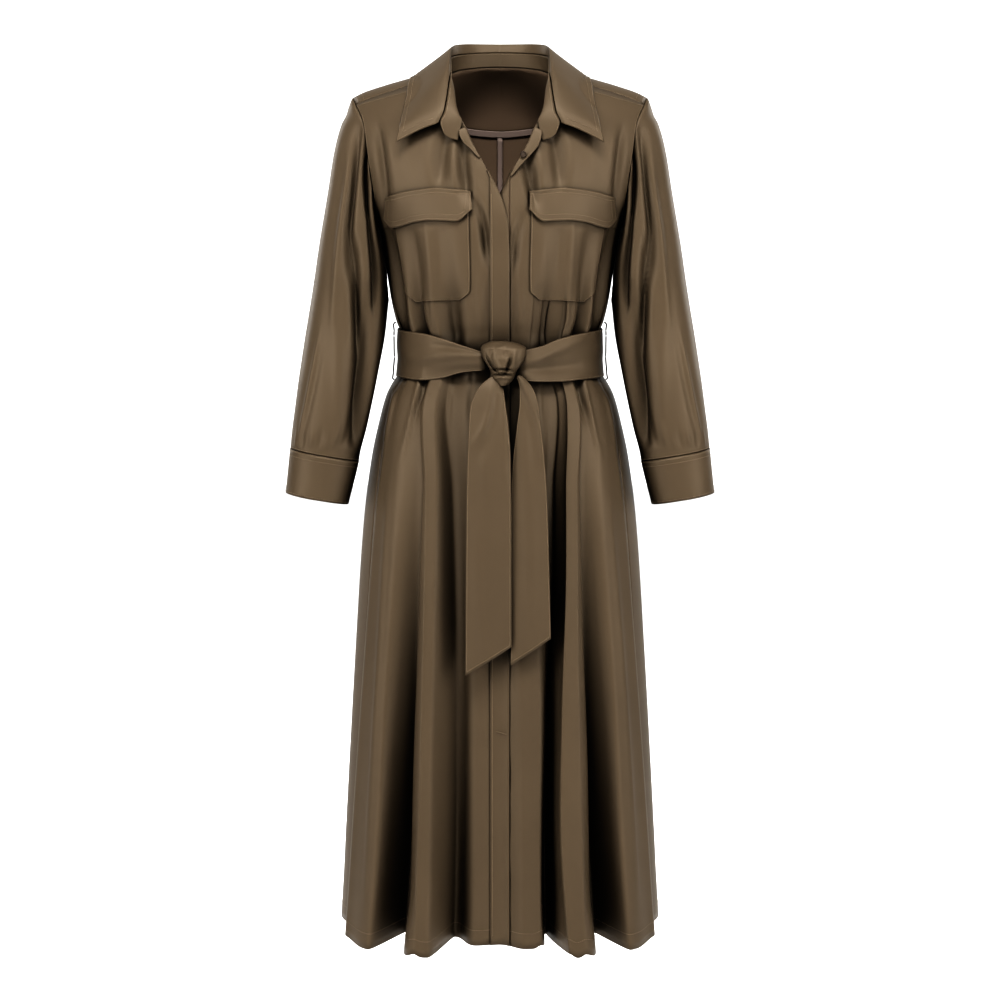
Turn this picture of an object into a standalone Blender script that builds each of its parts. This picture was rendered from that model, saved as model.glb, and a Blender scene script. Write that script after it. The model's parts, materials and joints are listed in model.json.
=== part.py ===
"""A belted shirt dress, worn open at the collar and filled out with no wearer in it.

Frame: metres, +Z up, the front faces -Y and the wearer's left is +X. The origin lies midway between
the two shoulder and neck points, where the wearer's shoulders carry the dress.

Every cloth wall is an open sheet whose points are the outer face, thickened inwards by Solidify.
The dress body is one skin, `skin(around, height)`: `around` counts the folds of the FOLDS table from
the centre front (0) past the wearer's left side (6) to the centre back (12), and minus the same
on the wearer's right. All panels, pockets, flaps, plackets and bindings take their points from it.
"""
import math

import bmesh
import bpy
from mathutils import Vector

# ------------------------------------------------------------------ driving dimensions (metres)
WALL = 0.0015             # cloth of the dress
TRIM_WALL = 0.0010        # pockets, flaps and bindings
CUFF_WALL = 0.0020        # cuffs, two cloths thick
COLLAR_WALL = 0.0012      # collar and stand
POCKET_LAY = 0.0011       # air between a front and its pocket
FLAP_LAY = 0.0009         # air between a pocket and its flap
GAP = 0.0004              # between neighbouring pieces at a seam
LAY = 0.0005              # air between a panel and what lies on it
GAP_SPREAD = 1.5          # how much wider the yoke seams' gap is at the armhole, as a share

SHOULDER_DROP = 0.031     # shoulder tip below the neck point
ROUNDING = 0.090          # drop over which the shoulder turns down into front and back
ROUNDING_STEP = 0.0015    # drop for each degree of turn below that
NECK_SEAM_X = 0.0790      # the neck seam at the front end of the yoke, from the centre
YOKE_FRONT_DROP = 0.011   # yoke seam below the shoulder line, in front
YOKE_BACK_CENTRE = -0.074 # yoke seam at the centre back
YOKE_BACK_CURVE = 2.2     # how late the back yoke seam curves towards the armhole
FRONT_TOP = -0.012        # top of a front's neck edge
UNDERARM = -0.211         # underarm point
WAIST = -0.385            # middle of the belt
HEM = -1.190              # hem at the side
OVAL = 2.15               # 2 is an ellipse, more is squarer

PLACKET_STITCH = 0.0126   # placket seam from the centre
UNDER_CUT = 0.0007        # the left front is cut back this much from its placket

CLOTH = "olive_satin_crepe"
BINDING = "taupe_binding"
BUTTON = "dark_button"
THREAD = "dark_thread"


# ------------------------------------------------------------------ tables
def table(columns, rows):
    """A table as {column: [values]}, from a line of column names and its rows."""
    names = columns.split()
    return {name: [row[i] for row in rows] for i, name in enumerate(names)}


def ease(t):
    """A smooth step from 0 to 1."""
    t = min(max(t, 0.0), 1.0)
    return t * t * (3.0 - 2.0 * t)


def mix(a, b, t):
    return a + (b - a) * t


def read(chart, column, where, key=None):
    """Reads a column at a place along the key column, smoothly and with no overshoot."""
    key = key or next(iter(chart))
    xs, ys = chart[key], chart[column]
    if xs[0] > xs[-1]:
        xs, ys = xs[::-1], ys[::-1]
    if where <= xs[0]:
        return ys[0]
    if where >= xs[-1]:
        return ys[-1]
    i = max(k for k in range(len(xs) - 1) if xs[k] <= where)

    def chord(k):
        return (ys[k + 1] - ys[k]) / (xs[k + 1] - xs[k])

    def slope(k):
        if k == 0:
            return chord(0)
        if k == len(xs) - 1:
            return chord(k - 1)
        before, after = chord(k - 1), chord(k)
        if before * after <= 0.0:
            return 0.0
        return 2.0 * before * after / (before + after)

    span = xs[i + 1] - xs[i]
    t = (where - xs[i]) / span
    rise = slope(i) * span
    fall = slope(i + 1) * span
    change = ys[i + 1] - ys[i]
    return ys[i] + t * (rise + t * (3 * change - 2 * rise - fall + t * (rise + fall - 2 * change)))


# Rings of the dress body. The widths above the underarm are those of the body inside the sleeves.
RINGS = table("height half_width front back", [
    (0.040, 0.2260, 0.070, 0.090),
    (-0.030, 0.2220, 0.080, 0.094),
    (-0.085, 0.2130, 0.094, 0.102),
    (-0.141, 0.1950, 0.109, 0.108),
    (-0.211, 0.1675, 0.119, 0.110),
    (-0.269, 0.1570, 0.118, 0.106),
    (-0.309, 0.1508, 0.112, 0.099),
    (-0.338, 0.1440, 0.105, 0.092),
    (-0.352, 0.1390, 0.101, 0.088),
    (-0.385, 0.1375, 0.099, 0.087),
    (-0.410, 0.1410, 0.101, 0.089),
    (-0.425, 0.1500, 0.106, 0.096),
    (-0.442, 0.1582, 0.111, 0.103),
    (-0.476, 0.1675, 0.116, 0.112),
    (-0.526, 0.1782, 0.121, 0.122),
    (-0.616, 0.1899, 0.126, 0.132),
    (-0.786, 0.2021, 0.131, 0.141),
    (-1.016, 0.2162, 0.136, 0.149),
    (-1.190, 0.2258, 0.140, 0.154),
])

# Fold lines, ridge and hollow by turns, as degrees around from the centre front at the chest, the
# belt and the hem, and as how far they stand out (mm) above the belt, at it, below it and at the hem.
LEFT_FOLDS = table("around chest belt hem out_above out_belt out_below out_hem", [
    (0, 0.0, 0.0, 0.0, 0.0, 0.0, -1.0, -10.0),
    (1, 13.7, 15.7, 8.6, 1.5, 2.0, 3.0, 8.0),
    (2, 26.0, 28.0, 17.6, -3.0, -3.5, -5.0, -42.0),
    (3, 38.2, 40.0, 23.0, 4.0, 4.5, 8.0, 45.0),
    (4, 46.0, 49.0, 35.0, -3.5, -3.5, -5.0, -26.0),
    (5, 55.0, 58.0, 48.0, 3.5, 4.0, 7.0, 36.0),
    (6, 86.0, 76.0, 68.0, 0.0, -1.0, -3.0, -4.0),
    (7, 100.0, 96.0, 92.0, 0.0, 0.5, 1.0, 0.0),
    (8, 112.0, 108.0, 107.0, -1.5, -3.0, -6.0, -26.0),
    (9, 126.0, 122.0, 122.0, 2.0, 3.0, 8.0, 30.0),
    (10, 140.0, 137.0, 136.0, -2.0, -3.5, -7.0, -30.0),
    (11, 158.0, 156.0, 154.0, 2.5, 3.5, 8.0, 27.0),
    (12, 180.0, 180.0, 180.0, -1.0, -2.0, -4.0, -14.0),
])
RIGHT_FOLDS = table("around chest belt hem out_above out_belt out_below out_hem", [
    (0, 0.0, 0.0, 0.0, 0.0, 0.0, -1.0, -10.0),
    (1, 13.7, 17.5, 7.6, 1.5, 2.0, 3.0, -5.0),
    (2, 26.0, 28.0, 15.8, -3.0, -3.5, -6.0, -32.0),
    (3, 38.2, 39.0, 22.8, 4.0, 4.5, 8.0, 45.0),
    (4, 46.0, 47.0, 34.0, -3.5, -3.5, -5.0, -30.0),
    (5, 55.0, 56.0, 46.5, 3.5, 4.0, 7.0, 35.0),
    (6, 86.0, 76.0, 68.0, 0.0, -1.0, -3.0, -4.0),
    (7, 100.0, 97.0, 91.0, 0.0, 0.5, 1.0, 0.0),
    (8, 113.0, 110.0, 105.0, -1.5, -3.0, -7.0, -24.0),
    (9, 127.0, 123.0, 120.0, 2.0, 3.0, 8.0, 31.0),
    (10, 142.0, 139.0, 138.0, -2.0, -3.5, -6.0, -32.0),
    (11, 160.0, 157.0, 157.0, 2.5, 3.5, 8.0, 24.0),
    (12, 180.0, 180.0, 180.0, -1.0, -2.0, -4.0, -14.0),
])
CHEST = -0.235            # where the folds above the belt begin
FADE = -0.185             # where they have died out
BELOW = -0.450            # where the skirt folds are fresh from the belt
SWING = 0.070             # drop in which a fold swings from its belt place to its hem place
ROLL = 0.30               # how far a deep fold's flanks roll under, as a share of its width
HEM_DIP = 0.15            # how far a ridge's hem hangs lower, as a share of its reach


def fold_line(side, k, height):
    """Degrees around and reach outwards (metres) of fold line k at a height."""
    folds = LEFT_FOLDS if side > 0 else RIGHT_FOLDS
    chest, belt, hem = folds["chest"][k], folds["belt"][k], folds["hem"][k]
    above, at_belt = folds["out_above"][k], folds["out_belt"][k]
    below, out_hem = folds["out_below"][k], folds["out_hem"][k]
    if height >= WAIST:
        drop = (CHEST - height) / (CHEST - WAIST)
        degrees = mix(chest, belt, ease(drop))
        out = mix(above, at_belt, ease(drop)) * ease((FADE - height) / (FADE - CHEST) * 0.5)
        if height < CHEST:
            out = mix(above * 0.5, at_belt, ease(drop))
        return degrees, out / 1000.0
    swing = 1.0 - math.exp(-(WAIST - height) / SWING)
    degrees = mix(belt, hem, swing)
    if height >= BELOW:
        out = mix(at_belt, below, ease((WAIST - height) / (WAIST - BELOW)))
    else:
        out = mix(below, out_hem, (BELOW - height) / (BELOW - HEM))
    return degrees, out / 1000.0


# ------------------------------------------------------------------ the skin of the dress body
# The line over the shoulders, carried on over the open neck to the centre.
SHOULDER = table("x height", [
    (0.000, 0.0370), (0.030, 0.0310), (0.055, 0.0175), (0.075, 0.0030), (0.110, -0.0014),
    (0.143, -0.0096), (0.165, -0.0162), (0.189, -0.0243), (0.2020, -0.0310), (0.226, -0.0430),
])


def shoulder_line(x):
    """Height of the shoulder line at a distance from the centre."""
    return read(SHOULDER, "height", abs(x))


def power(value, exponent):
    return math.copysign(abs(value) ** exponent, value)


def plain(degrees, height):
    """A point of the body with no folds, and its outward direction seen from above."""
    turn = math.radians(degrees)
    width = read(RINGS, "half_width", height)
    deep = read(RINGS, "front" if abs(degrees) <= 90.0 else "back", height)
    x = width * power(math.sin(turn), 2.0 / OVAL)
    y = -deep * power(math.cos(turn), 2.0 / OVAL)
    share = min(max((shoulder_line(x) - height) / ROUNDING, 0.0), 1.0)
    y *= math.sqrt(share * (2.0 - share))
    outward = Vector((x / width ** 2, y / deep ** 2, 0.0)).normalized()
    return Vector((x, y, height)), outward


def facing_out(degrees, height):
    """The true outward direction of the plain body, which leans upwards over the shoulders."""
    along = plain(degrees + 0.2, height)[0] - plain(degrees - 0.2, height)[0]
    up = plain(degrees, height + 0.0005)[0] - plain(degrees, height - 0.0005)[0]
    return along.cross(up).normalized()


def bent(degrees, height, out, lean):
    """A point moved outwards by a fold, and sideways by its lean (both metres)."""
    point, outward = plain(degrees, height)
    sideways = Vector((-outward.y, outward.x, 0.0))
    return point + outward * out + sideways * lean


def skin(around, height):
    """The outer face of the dress body at a count of folds and a height."""
    side = 1 if around >= 0 else -1
    count = min(abs(around), 12.0)
    k = min(int(count), 11)
    t = count - k
    here, out_here = fold_line(side, k, height)
    there, out_there = fold_line(side, k + 1, height)
    wave = 0.5 - 0.5 * math.cos(math.pi * t)
    width = read(RINGS, "half_width", height) * math.radians(there - here)
    steep = min(abs(out_there - out_here) / max(width, 0.001), 1.0)
    roll = ROLL * width * steep * math.sin(2.0 * math.pi * t)
    if out_there > out_here:
        roll = -roll
    out = mix(out_here, out_there, wave)
    point = bent(side * mix(here, there, t), height, out, side * roll)
    point.z -= HEM_DIP * out * ease((BELOW - height) / (BELOW - HEM))
    return point


def degrees_at(x, height):
    """Degrees around of the front or back point at a distance from the centre."""
    share = min(abs(x) / read(RINGS, "half_width", height), 1.0)
    return math.degrees(math.asin(share ** (OVAL / 2.0)))


# ------------------------------------------------------------------ edges of the pieces
# The opening edges. The fronts roll back along the V of the neck, down to where the plackets begin.
NECK_FRONT = table("height x", [
    (FRONT_TOP, NECK_SEAM_X), (-0.030, 0.0765), (-0.050, 0.0670), (-0.066, 0.0505), (-0.096, 0.0363),
    (-0.108, 0.0300), (-0.130, 0.0178), (-0.144, 0.0126), (-0.250, 0.0126),
])
OVER_EDGE = table("height x", [
    (-0.130, -0.0160), (-0.148, -0.0070), (-0.170, 0.0030), (-0.190, 0.0085), (-0.212, 0.0118),
    (-0.250, 0.0131), (-0.300, 0.0131),
])
UNDER_EDGE = table("height x", [
    (-0.130, 0.0160), (-0.148, 0.0075), (-0.170, -0.0030), (-0.190, -0.0080), (-0.212, -0.0105),
    (-0.250, -0.0112), (-0.300, -0.0112),
])
# The armhole, front and back alike.
ARMHOLE = table("height x", [
    (-0.031, 0.2020), (-0.041, 0.1975), (-0.065, 0.1870), (-0.120, 0.1790), (-0.150, 0.1745),
    (-0.185, 0.1700), (-0.211, 0.1675),
])
# Degrees from the top of the armhole, round the front to the underarm at 180 and on up the back.
YOKE_FRONT_TURN = 28.0
YOKE_BACK_TURN = 56.0
FRONT_TURNS = (28.0, 48.0, 70.0, 92.0, 114.0, 136.0, 152.0, 165.0, 180.0)
BACK_TURNS = (56.0, 76.0, 96.0, 116.0, 136.0, 152.0, 165.0, 180.0)
YOKE_TURNS = (-28.0, -14.0, 0.0, 14.0, 28.0, 42.0, 56.0)


def armhole(turn):
    """A point of the armhole; turns from 0 to 180 run down the back, and below 0 down the front."""
    middle = (-SHOULDER_DROP + UNDERARM) / 2.0
    half = (-SHOULDER_DROP - UNDERARM) / 2.0
    height = middle + half * math.cos(math.radians(turn))
    x = read(ARMHOLE, "x", height)
    degrees = degrees_at(x, height)
    if turn > 0:
        degrees = 180.0 - degrees
    return degrees, height


def turn_over(drop):
    """Turn over the shoulder (degrees) at a drop below the shoulder line, in even steps of cloth."""
    if drop > ROUNDING:
        return 90.0 + (drop - ROUNDING) / ROUNDING_STEP
    return math.degrees(math.acos(1.0 - max(drop, 0.0) / ROUNDING))


def drop_at(turn):
    """Drop below the shoulder line at a turn over it."""
    turn = abs(turn)
    if turn > 90.0:
        return ROUNDING + ROUNDING_STEP * (turn - 90.0)
    return ROUNDING * (1.0 - math.cos(math.radians(turn)))


def seam_gap(share):
    """The gap below the yoke seam, which widens towards the armhole, where the walls draw together."""
    return GAP * (1.0 + GAP_SPREAD * share ** 3)


def front_seam(share):
    """The yoke seam in front, from the neck (0) to the armhole (1): distance and turn."""
    _, height = armhole(-YOKE_FRONT_TURN)
    x = read(ARMHOLE, "x", height)
    end = turn_over(shoulder_line(x) - height)
    return mix(NECK_SEAM_X, x, share), mix(turn_over(YOKE_FRONT_DROP), end, share)


def side_columns(first, steps):
    """Fold counts from a first one to the next whole ones, in steps between each."""
    counts = []
    start = first
    for k, n in enumerate(steps):
        end = math.floor(start) + 1.0
        counts += [mix(start, end, i / n) for i in range(n)]
        start = end
    return counts + [start]


# Columns between one fold line and the next, from the centre front and from the side.
FRONT_STEPS = (3, 4, 4, 3, 4, 5)
BACK_STEPS = (3, 3, 3, 3, 3, 3)
SEAM_COLUMNS = sum(BACK_STEPS)
# What a seam's gap is in fold counts and in degrees, from the length of one count and the radius.
SIDE_GAP = GAP / 0.10
CENTRE_GAP = GAP / 0.08
ARMHOLE_GAP = math.degrees(GAP / 0.20)
BACK_GAP = math.degrees(GAP / 2.0 / 0.11)
LOWER_ROWS = (-0.240, -0.272, -0.306, -0.336, -0.352, -0.385, -0.411, -0.428, -0.450, -0.490, -0.560,
              -0.680, -0.830, -1.000, -1.140, -1.190)


def count_at(side, degrees, height):
    """The fold count at some degrees around, near the centre front."""
    first = fold_line(side, 1, height)[0]
    return abs(degrees) / first


def front_grid(side, cut=0.0):
    """Outer face of a front, rows from the yoke seam to the hem, columns from the placket out."""
    shares = []
    chest = [fold_line(side, k, UNDERARM)[0] for k in range(7)]
    edge_degrees = degrees_at(PLACKET_STITCH, UNDERARM)
    for count in side_columns(count_at(side, edge_degrees, UNDERARM), FRONT_STEPS):
        k = min(int(count), 5)
        degrees = mix(chest[k], chest[k + 1], count - k)
        shares.append((degrees - edge_degrees) / (chest[6] - edge_degrees))
    rows = []
    for turn in FRONT_TURNS[:-1]:
        down = (turn - FRONT_TURNS[0]) / (FRONT_TURNS[-1] - FRONT_TURNS[0])
        inner_height = mix(FRONT_TOP - GAP, UNDERARM, down)
        inner_x = read(NECK_FRONT, "x", inner_height) + cut
        inner = degrees_at(inner_x, inner_height)
        outer, outer_height = armhole(-turn)
        outer -= ARMHOLE_GAP
        row = []
        for share in shares:
            degrees = mix(inner, outer, share)
            slide = math.sin(math.radians(degrees)) - math.sin(math.radians(inner))
            slide /= math.sin(math.radians(outer)) - math.sin(math.radians(inner))
            height = mix(inner_height, outer_height, slide)
            if turn == FRONT_TURNS[0]:
                x, over = front_seam(slide)
                height = shoulder_line(x) - drop_at(over) - seam_gap(slide)
                degrees = degrees_at(x, height)
            point, _ = plain(side * degrees, height)
            row.append(point)
        rows.append(row)
    for height in (UNDERARM,) + LOWER_ROWS:
        first = count_at(side, degrees_at(PLACKET_STITCH + cut, height), height)
        counts = side_columns(first, FRONT_STEPS)
        counts[-1] = 6.0 - SIDE_GAP
        rows.append([skin(side * count, height) for count in counts])
    return rows


def back_seam(share):
    """The yoke seam across the back, from the centre (0) to the armhole (1)."""
    degrees, end_height = armhole(YOKE_BACK_TURN)
    height = mix(YOKE_BACK_CENTRE, end_height, share ** YOKE_BACK_CURVE)
    return mix(180.0, degrees, share), height


def back_shares(side):
    """How far each back column lies from the centre back to the side, and its fold count."""
    chest = [fold_line(side, k, UNDERARM)[0] for k in range(13)]
    counts = side_columns(6.0, BACK_STEPS)[::-1]
    shares = []
    for count in counts:
        k = min(int(count), 11)
        shares.append((180.0 - mix(chest[k], chest[k + 1], count - k)) / (180.0 - chest[6]))
    return shares, counts


def back_grid(side):
    """Outer face of a back, rows from the yoke seam to the hem, columns from the centre out."""
    shares, counts = back_shares(side)
    rows = []
    for turn in BACK_TURNS[:-1]:
        down = (turn - BACK_TURNS[0]) / (BACK_TURNS[-1] - BACK_TURNS[0])
        outer, outer_height = armhole(turn)
        outer += ARMHOLE_GAP
        row = []
        for share in shares:
            centre_height = mix(YOKE_BACK_CENTRE, UNDERARM, down)
            height = mix(centre_height, outer_height, share ** YOKE_BACK_CURVE)
            if turn == BACK_TURNS[0]:
                height = back_seam(share)[1] - seam_gap(share)
            degrees = mix(180.0 - BACK_GAP, outer, share)
            row.append(plain(side * degrees, height)[0])
        rows.append(row)
    for height in (UNDERARM,) + LOWER_ROWS:
        places = list(counts)
        places[0] = 12.0 - CENTRE_GAP
        places[-1] = 6.0 + SIDE_GAP
        rows.append([skin(side * count, height) for count in places])
    return rows


# ------------------------------------------------------------------ making cloth
def material(name, colour, roughness):
    made = bpy.data.materials.get(name)
    if made is None:
        made = bpy.data.materials.new(name)
        made.use_nodes = True
        shader = made.node_tree.nodes["Principled BSDF"]
        shader.inputs["Base Color"].default_value = (*colour, 1.0)
        shader.inputs["Roughness"].default_value = roughness
        shader.inputs["Metallic"].default_value = 0.0
    return made


def finish_of(name):
    looks = {
        CLOTH: ((0.135, 0.098, 0.060), 0.45),
        BINDING: ((0.10, 0.078, 0.064), 0.7),
        BUTTON: ((0.045, 0.034, 0.026), 0.3),
        THREAD: ((0.03, 0.022, 0.016), 0.8),
    }
    colour, roughness = looks[name]
    return material(name, colour, roughness)


def add_object(name, mesh, finish):
    made = bpy.data.objects.new(name, mesh)
    mesh.materials.append(finish_of(finish))
    PARTS.objects.link(made)
    return made


def sheet(name, rows, wall, finish=CLOTH, ring=False, flip=False):
    """A cloth wall from a grid of outer points, thickened inwards."""
    shape = bmesh.new()
    grid = [[shape.verts.new(point) for point in row] for row in rows]
    columns = len(rows[0])
    for upper, lower in zip(grid, grid[1:]):
        for i in range(columns if ring else columns - 1):
            j = (i + 1) % columns
            corners = (upper[i], lower[i], lower[j], upper[j])
            shape.faces.new(corners[::-1] if flip else corners)
    mesh = bpy.data.meshes.new(name)
    shape.to_mesh(mesh)
    shape.free()
    mesh.shade_smooth()
    made = add_object(name, mesh, finish)
    solid = made.modifiers.new("wall", "SOLIDIFY")
    solid.thickness = wall
    solid.offset = -1.0
    return made


def normals(rows):
    """Outward directions of a grid whose columns run away from the centre front on the left side."""
    made = []
    for r, row in enumerate(rows):
        line = []
        for c, _ in enumerate(row):
            down = rows[min(r + 1, len(rows) - 1)][c] - rows[max(r - 1, 0)][c]
            along = row[min(c + 1, len(row) - 1)] - row[max(c - 1, 0)]
            line.append(down.cross(along).normalized())
        made.append(line)
    return made


class Panel:
    """A panel's grid, with points on it by column and height, moved out by a distance."""

    def __init__(self, rows, side):
        self.rows = rows
        self.away = [[n * side for n in line] for line in normals(rows)]

    def on_column(self, c, height):
        column = [row[c] for row in self.rows]
        r = 0
        while r < len(column) - 2 and column[r + 1].z > height:
            r += 1
        t = (column[r].z - height) / (column[r].z - column[r + 1].z)
        point = column[r].lerp(column[r + 1], t)
        away = self.away[r][c].lerp(self.away[r + 1][c], min(max(t, 0.0), 1.0))
        return point, away.normalized()

    def at(self, c, height, out):
        low = min(int(c), len(self.rows[0]) - 2)
        near, near_away = self.on_column(low, height)
        far, far_away = self.on_column(low + 1, height)
        t = c - low
        return near.lerp(far, t) + near_away.lerp(far_away, t).normalized() * out


# ------------------------------------------------------------------ fronts, plackets, pockets, flaps
def fronts():
    made = {}
    for side, name in ((1, "front_left"), (-1, "front_right")):
        rows = front_grid(side, cut=UNDER_CUT if side > 0 else 0.0)
        sheet(name, rows, WALL, flip=side < 0)
        made[side] = Panel(rows, side)
    return made


def backs():
    for side, name in ((1, "back_left"), (-1, "back_right")):
        sheet(name, back_grid(side), WALL, flip=side > 0)


PLACKET_ROWS = (-0.148, -0.160, -0.172, -0.186, -0.200, UNDERARM) + LOWER_ROWS


def front_point(x, height):
    """The outer face of the fronts at a distance from the centre, near the opening."""
    degrees = math.copysign(degrees_at(x, height), x)
    if height > UNDERARM + 0.001:
        return plain(degrees, height)[0]
    side = 1 if x >= 0 else -1
    return skin(side * count_at(side, degrees, height), height)


def placket(name, edge, side, out, lap, top_curl):
    """A placket strip from the V to the hem, between its seam and its free edge."""
    rows = []
    for height in PLACKET_ROWS:
        seam = side * (read(NECK_FRONT, "x", height) + lap)
        free = read(edge, "x", height)
        row = []
        for share in (0.0, 0.5, 1.0):
            point = front_point(mix(seam, free, share), height)
            point.y -= out
            point.y += top_curl * ease((height + 0.20) / 0.05) * share ** 2
            row.append(point)
        rows.append(row)
    sheet(name, rows, WALL, flip=side > 0)


def plackets():
    out = LAY + WALL
    placket("placket_over", OVER_EDGE, -1, out, 0.0010, 0.002)
    placket("placket_under", UNDER_EDGE, 1, 0.0, -0.0003, 0.006)


# The facings that the open neck turns out: where each row leaves the roll and how wide it is.
FACING_LEFT = table("share height width rise", [
    (0.0, -0.0745, 0.0030, 0.0020), (0.25, -0.0820, 0.0110, 0.0050), (0.5, -0.0940, 0.0165, 0.0060),
    (0.75, -0.1160, 0.0085, 0.0030), (1.0, -0.1400, 0.0020, 0.0005),
])
FACING_RIGHT = table("share height width rise", [
    (0.0, -0.0745, 0.0030, 0.0020), (0.25, -0.0820, 0.0110, 0.0050), (0.5, -0.0910, 0.0120, 0.0050),
    (0.75, -0.1020, 0.0060, 0.0020), (1.0, -0.1150, 0.0020, 0.0005),
])


FACING_STEPS = 8
FACING_TILT = 0.3         # how much lower a facing lies for each step across


def facings():
    for side, word, chart in ((1, "left", FACING_LEFT), (-1, "right", FACING_RIGHT)):
        rows = []
        for r in range(FACING_STEPS + 1):
            share = r / FACING_STEPS
            height = read(chart, "height", share)
            width = read(chart, "width", share)
            rise = read(chart, "rise", share)
            row = []
            for across in (0.0, 0.34, 0.67, 1.0):
                x = read(NECK_FRONT, "x", height) + GAP + width * across
                point = front_point(side * x, height - FACING_TILT * width * across)
                point.y -= LAY + WALL + 0.0002 + rise * across ** 1.3
                row.append(point)
            rows.append(row)
        sheet("facing_" + word, rows, WALL, flip=side < 0)


POCKET = table("column top bottom", [
    (0.0, -0.176, -0.2885), (1.6, -0.176, -0.3055), (8.0, -0.176, -0.3070), (14.0, -0.176, -0.3085),
    (16.0, -0.178, -0.2920),
])
FLAP = table("column top bottom", [
    (-0.3, -0.1610, -0.1880), (1.6, -0.1595, -0.2010), (7.0, -0.1570, -0.1975),
    (14.0, -0.1600, -0.2030), (16.8, -0.1660, -0.2075), (18.0, -0.1700, -0.1935),
])


FIRST_COLUMN = 3          # the front's column at which the pocket begins
POCKET_COLUMNS = (0.0, 0.8, 1.6) + tuple(range(2, 15)) + (14.7, 15.4, 16.0)
FLAP_COLUMNS = (-0.3, 0.8, 1.6) + tuple(range(2, 17)) + (16.8, 17.4, 18.0)


def lay_on(panel, outline, columns, row_count, out):
    """A piece that lies on a panel, on the panel's own columns, between a top and a bottom line."""
    rows = []
    for r in range(row_count + 1):
        row = []
        for c in columns:
            top = read(outline, "top", c)
            bottom = read(outline, "bottom", c)
            row.append(panel.at(FIRST_COLUMN + c, mix(top, bottom, r / row_count), out))
        rows.append(row)
    return rows


def pockets(panels):
    for side, word in ((1, "left"), (-1, "right")):
        out = POCKET_LAY + TRIM_WALL
        rows = lay_on(panels[side], POCKET, POCKET_COLUMNS, 4, out)
        sheet("pocket_" + word, rows, TRIM_WALL, flip=side < 0)
        out += FLAP_LAY + TRIM_WALL
        rows = lay_on(panels[side], FLAP, FLAP_COLUMNS, 3, out)
        sheet("flap_" + word, rows, TRIM_WALL, flip=side < 0)


# ------------------------------------------------------------------ yoke
# Half of the neck seam from the centre back: distance from the centre, drop below the shoulder line.
NECK_SEAM = table("share x drop", [
    (0.0, 0.0, 0.0230), (0.30, 0.0300, 0.0185), (0.55, 0.0560, 0.0085), (0.74, 0.0730, 0.0012),
    (0.80, 0.0765, 0.0), (0.88, 0.0785, 0.0035), (1.0, NECK_SEAM_X, YOKE_FRONT_DROP),
])
NECK_BEHIND = 0.80        # the share of it that lies behind the shoulder line
YOKE_MEET = 0.24          # where along the whole neck seam the armhole's corner fans out from
YOKE_STEPS = 4


def neck_seam(turn):
    """The neck seam from the front yoke seam (0) round the back to the other (1), outer face."""
    side = -1 if turn < 0.5 else 1
    share = abs(turn - 0.5) * 2.0
    x = read(NECK_SEAM, "x", share)
    height = shoulder_line(x) - read(NECK_SEAM, "drop", share)
    degrees = degrees_at(x, height)
    point, _ = plain(side * (180.0 - degrees if share < NECK_BEHIND else degrees), height)
    return point


def yoke_outline():
    """Outer border of the yoke and where each point meets the neck, from right to left."""
    shares, _ = back_shares(1)
    outline = []
    for turn in YOKE_TURNS[:-1]:
        meet = YOKE_MEET * (turn - YOKE_TURNS[0]) / (YOKE_TURNS[-1] - YOKE_TURNS[0])
        outline.append((armhole(turn), meet))
    seam = [back_seam(share) for share in reversed(shares)]
    for k, place in enumerate(seam):
        outline.append((place, mix(YOKE_MEET, 0.5, k / (len(seam) - 1))))
    return outline


def yoke():
    """The yoke: rows from the neck seam to the border, columns from the right front to the left."""
    half = []
    for (degrees, height), meet in yoke_outline():
        start = neck_seam(1.0 - meet)
        end, _ = plain(degrees, height)
        half.append([yoke_point(start, end, r / YOKE_STEPS) for r in range(YOKE_STEPS + 1)])
    other = [[Vector((-p.x, p.y, p.z)) for p in column] for column in half[:-1]]
    columns = other + half[::-1]
    rows = [[column[r] for column in columns] for r in range(YOKE_STEPS + 1)]
    sheet("back_yoke", rows, WALL, flip=True)


def turn_of(point):
    """Turn over the shoulder of a point of the body, minus in front."""
    return math.copysign(turn_over(shoulder_line(point.x) - point.z), point.y)


def yoke_point(start, end, share):
    x = mix(start.x, end.x, share)
    turn = mix(turn_of(start), turn_of(end), share)
    level = shoulder_line(x) - drop_at(turn)
    around = degrees_at(x, level)
    return plain(around if turn < 0 else 180.0 - around, level)[0]


# ------------------------------------------------------------------ sleeves and cuffs
# The sleeve by height: its outer and inner edges from the centre of the dress, depth and swing forward.
SLEEVE = table("height outer inner half_depth y", [
    (-0.0300, 0.2020, 0.1100, 0.056, 0.004),
    (-0.0405, 0.2040, 0.1100, 0.058, 0.004),
    (-0.0517, 0.2085, 0.1110, 0.060, 0.004),
    (-0.0655, 0.2172, 0.1120, 0.061, 0.004),
    (-0.1030, 0.2280, 0.1180, 0.060, 0.003),
    (-0.1590, 0.2375, 0.1280, 0.056, 0.002),
    (-0.2280, 0.2495, 0.1420, 0.053, -0.001),
    (-0.3120, 0.2630, 0.1545, 0.050, -0.006),
    (-0.3540, 0.2700, 0.1590, 0.048, -0.009),
    (-0.4120, 0.2785, 0.1700, 0.046, -0.014),
    (-0.4540, 0.2840, 0.1785, 0.044, -0.017),
    (-0.4880, 0.2885, 0.1860, 0.042, -0.019),
    (-0.5180, 0.2915, 0.1940, 0.038, -0.021),
    (-0.5320, 0.2930, 0.1965, 0.037, -0.022),
    (-0.5900, 0.2990, 0.2110, 0.035, -0.025),
])
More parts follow.
